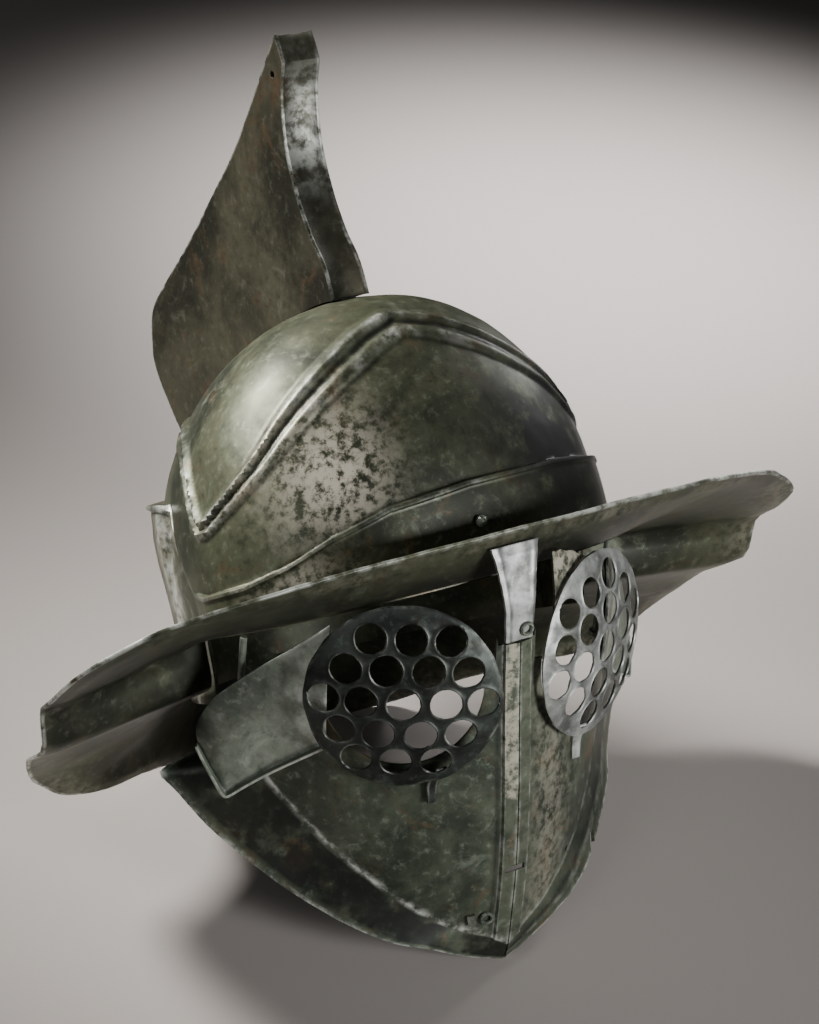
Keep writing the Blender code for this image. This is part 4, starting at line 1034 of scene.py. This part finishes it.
# %% The temple plates
TEMPLE_CROWN, TEMPLE_FOLD = 1.5 * MM, 3.4 * MM
TEMPLE = (
    # place, then top across, back, down, then foot across, back, down
    (0, 0.387, -0.598, 0.099, 0.392, -0.325, 0.365), (1, 0.451, -0.423, 0.134, 0.441, -0.18, 0.384),
    (2, 0.505, -0.27, 0.162, 0.49, -0.045, 0.404), (3, 0.551, -0.15, 0.188, 0.534, 0.03, 0.421),
    (4, 0.581, -0.07, 0.208, 0.569, 0.07, 0.433), (5, 0.6, 0.0, 0.236, 0.588, 0.08, 0.384),
    (6, 0.612, 0.055, 0.265, 0.607, 0.095, 0.305),
)
TEMPLE_ROWS, TEMPLE_STEPS = 60, 30
for side, word in ((-1, "left"), (1, "right")):
    outward = Vector((side, -1, 0)).normalized()
    points, looks = [], []
    for r in range(TEMPLE_ROWS + 1):
        key = 6 * r / TEMPLE_ROWS
        ends = []
        for first in (1, 4):
            across, back, down = (along(TEMPLE, key, first + c) for c in range(3))
            ends.append(Vector((side * across * BRIM_HALF_WIDTH, back * VISOR_REACH, -down * FLANGE_DROP)))
        top, foot = ends
        forward = 1 - r / TEMPLE_ROWS
        for i in range(TEMPLE_STEPS + 1):
            share = i / TEMPLE_STEPS
            p = top.lerp(foot, share) + outward * TEMPLE_CROWN * 4 * share * (1 - share)
            points.append(p + outward * 0.3 * MM * rough(p, 18 * MM))
            # The front of the plate, by the grille, is painted bright as a highlight, besides its worn edges;
            # it is darker towards the back.
            looks.append({"wear_and_highlight": 0.8 * bump(share - 1, 0.03) + 0.55 * bump(forward - 0.95, 0.22)
                          + 0.5 * (i == 0) + 0.6 * (r == 0),
                          "dark": 0.75 * bump(forward, 0.45)})
        for s in (0.35, 0.7, 1.0):
            points.append(foot + (outward * TEMPLE_FOLD - Vector((0, 0, TEMPLE_FOLD / 2))) * s)
            looks.append({"wear_and_highlight": 0.75 * (s == 1.0), "dark": 0.3 * (s < 1)})
    faces = faced_out(points, grid_faces(TEMPLE_ROWS + 1, TEMPLE_STEPS + 4), (0, 0, -60 * MM))
    plate = new_piece("temple_sheet_" + word, points, faces, looks, "visor_" + word, "temple_plate_" + word,
                      THIN_SHEET)
    plate.data.materials.append(FINISH["temple"])
    print("temple plate", word, len(points), "points")

# %% [markdown]
# ## The nasal band
# A flat band hangs from under the brim in front of the keel. It is wider at its top, worn pale, with a
# thin raised line near each edge and a dark streak down its left side.

# %% The nasal band
NASAL_TOP, NASAL_FOOT = 2.6 * MM, 46.3 * MM
NASAL_HALF, NASAL_FLARE, NASAL_STAND = 7.5 * MM, 5.5 * MM, 1.5 * MM
NASAL_STEPS, NASAL_COLUMNS = 60, 25
points, looks = [], []
for i in range(NASAL_STEPS + 1):
    down = NASAL_TOP + (NASAL_FOOT - NASAL_TOP) * i / NASAL_STEPS
    half = NASAL_HALF + NASAL_FLARE * (1 - i / NASAL_STEPS) ** 2
    middle = face_point(0.0, down, NASAL_STAND)
    out = face_normal(0.0, down)
    for j in range(NASAL_COLUMNS):
        s = -1 + 2 * j / (NASAL_COLUMNS - 1)
        line = bump(abs(s) - 0.8, 0.06)
        ragged = 0.4 * MM * rough((s, down, 0), 5 * MM) * (abs(s) == 1)
        wave = 0.25 * MM * rough((s * half, down, 0), 8 * MM)
        points.append(middle + Vector((half * s + ragged, 0, 0)) + out * (0.45 * MM * line + wave))
        looks.append({"wear_and_highlight": 0.9 * line + 0.4 * bump(s - 0.1, 0.35) + 0.6 * (i == NASAL_STEPS),
                      "dark": 0.95 * bump(s + 0.62, 0.13) * (0.6 + rough((0, down, 0), 12 * MM))})
faces = faced_out(points, grid_faces(NASAL_STEPS + 1, NASAL_COLUMNS), (0, 0, -20 * MM))
nasal = new_piece("nasal_sheet", points, faces, looks, "shell", "nasal_band", SHEET)
nasal.data.materials.append(FINISH["nasal"])
print("nasal band:", len(points), "points")

# %% [markdown]
# ## Camera, floor and light
# The photograph was taken from the helmet's front left, a little above it, with a long lens. The
# camera's place was worked out by matching the helmet's outline. The floor is plain and pale, and one
# large soft light from the upper left leaves the right side in shade, with a second pool of light on
# the floor behind.

# %% The camera
CAMERA_AT = Vector((-674.5, -1186.2, 66.8)) * MM
CAMERA_TURN, CAMERA_RISE, CAMERA_ROLL = (math.radians(a) for a in (30.0, 2.0, 12.99))
LENS = 98.45
back = Vector((-math.sin(CAMERA_TURN) * math.cos(CAMERA_RISE), -math.cos(CAMERA_TURN) * math.cos(CAMERA_RISE),
               math.sin(CAMERA_RISE)))
level = Vector((math.cos(CAMERA_TURN), -math.sin(CAMERA_TURN), 0))
upright = back.cross(level)
right = math.cos(CAMERA_ROLL) * level - math.sin(CAMERA_ROLL) * upright
up = math.cos(CAMERA_ROLL) * upright + math.sin(CAMERA_ROLL) * level
turned = REST.to_3x3()
right, up, back = (turned @ v for v in (right, up, back))
camera = bpy.data.objects.new("camera", bpy.data.cameras.new("camera"))
camera.data.lens = LENS
camera.data.sensor_fit = "AUTO"
camera.matrix_world = Matrix.Translation(REST @ CAMERA_AT) @ Matrix((right, up, back)).transposed().to_4x4()
bpy.context.scene.collection.objects.link(camera)
bpy.context.scene.camera = camera
print("camera", [round(v, 3) for v in camera.location], "at", round((REST @ CAMERA_AT).z, 3), "m up")

# %% The floor
PAPER = (0.34, 0.31, 0.29, 1)
FLOOR_HALF = 6
floor_corners = [(x * FLOOR_HALF, y * FLOOR_HALF, 0) for x, y in ((-1, -1), (1, -1), (1, 1), (-1, 1))]
floor_mesh = bpy.data.meshes.new("floor")
floor_mesh.from_pydata(floor_corners, [], [(0, 1, 2, 3)])
floor = bpy.data.objects.new("floor", floor_mesh)
bpy.context.scene.collection.objects.link(floor)
paper = bpy.data.materials.new("pale_floor")
paper.use_nodes = True
paper_shader = paper.node_tree.nodes["Principled BSDF"]
paper_shader.inputs["Base Color"].default_value = PAPER
paper_shader.inputs["Roughness"].default_value = 0.85
floor.data.materials.append(paper)

# %% The lights
MIDDLE = Vector((0, 0, 0.16))


def area_light(name, place, aim, size, watts, spread=150, colour=(1, 1, 1)):
    """A square soft light at a place, turned to what it lights, with a spread in degrees."""
    data = bpy.data.lights.new(name, "AREA")
    data.spread = math.radians(spread)
    data.size = size
    data.energy = watts
    data.color = colour
    light = bpy.data.objects.new(name, data)
    light.location = place
    light.rotation_euler = (place - aim).to_track_quat("Z", "Y").to_euler()
    bpy.context.scene.collection.objects.link(light)


area_light("key", MIDDLE - 0.95 * right + 1.0 * up + 0.15 * back, MIDDLE, 0.42, 3.6, 34, (1.0, 0.98, 0.95))
area_light("fill", MIDDLE - 0.55 * right - 0.1 * up + 1.2 * back, MIDDLE, 0.7, 0.26, 36)
area_light("low", MIDDLE + 0.95 * right - 0.22 * up + 0.85 * back, MIDDLE, 0.4, 1.7, 50)
area_light("edge", MIDDLE + 0.8 * right + 0.75 * up - 0.55 * back, MIDDLE, 0.22, 0.6, 60)
pool = bpy.data.lights.new("pool", "SPOT")
pool.energy = 780
pool.spot_size = math.radians(24)
pool.spot_blend = 1.0
pool.shadow_soft_size = 0.2
pool_light = bpy.data.objects.new("pool", pool)
pool_at, pool_aim = Vector((0.9, 0.75, 2.1)), Vector((0.53, 0.46, 0))
pool_light.location = pool_at
pool_light.rotation_euler = (pool_at - pool_aim).to_track_quat("Z", "Y").to_euler()
bpy.context.scene.collection.objects.link(pool_light)
world = bpy.data.worlds.new("studio")
world.use_nodes = True
world.node_tree.nodes["Background"].inputs["Color"].default_value = (0.8, 0.8, 0.82, 1)
world.node_tree.nodes["Background"].inputs["Strength"].default_value = 0.025
bpy.context.scene.world = world
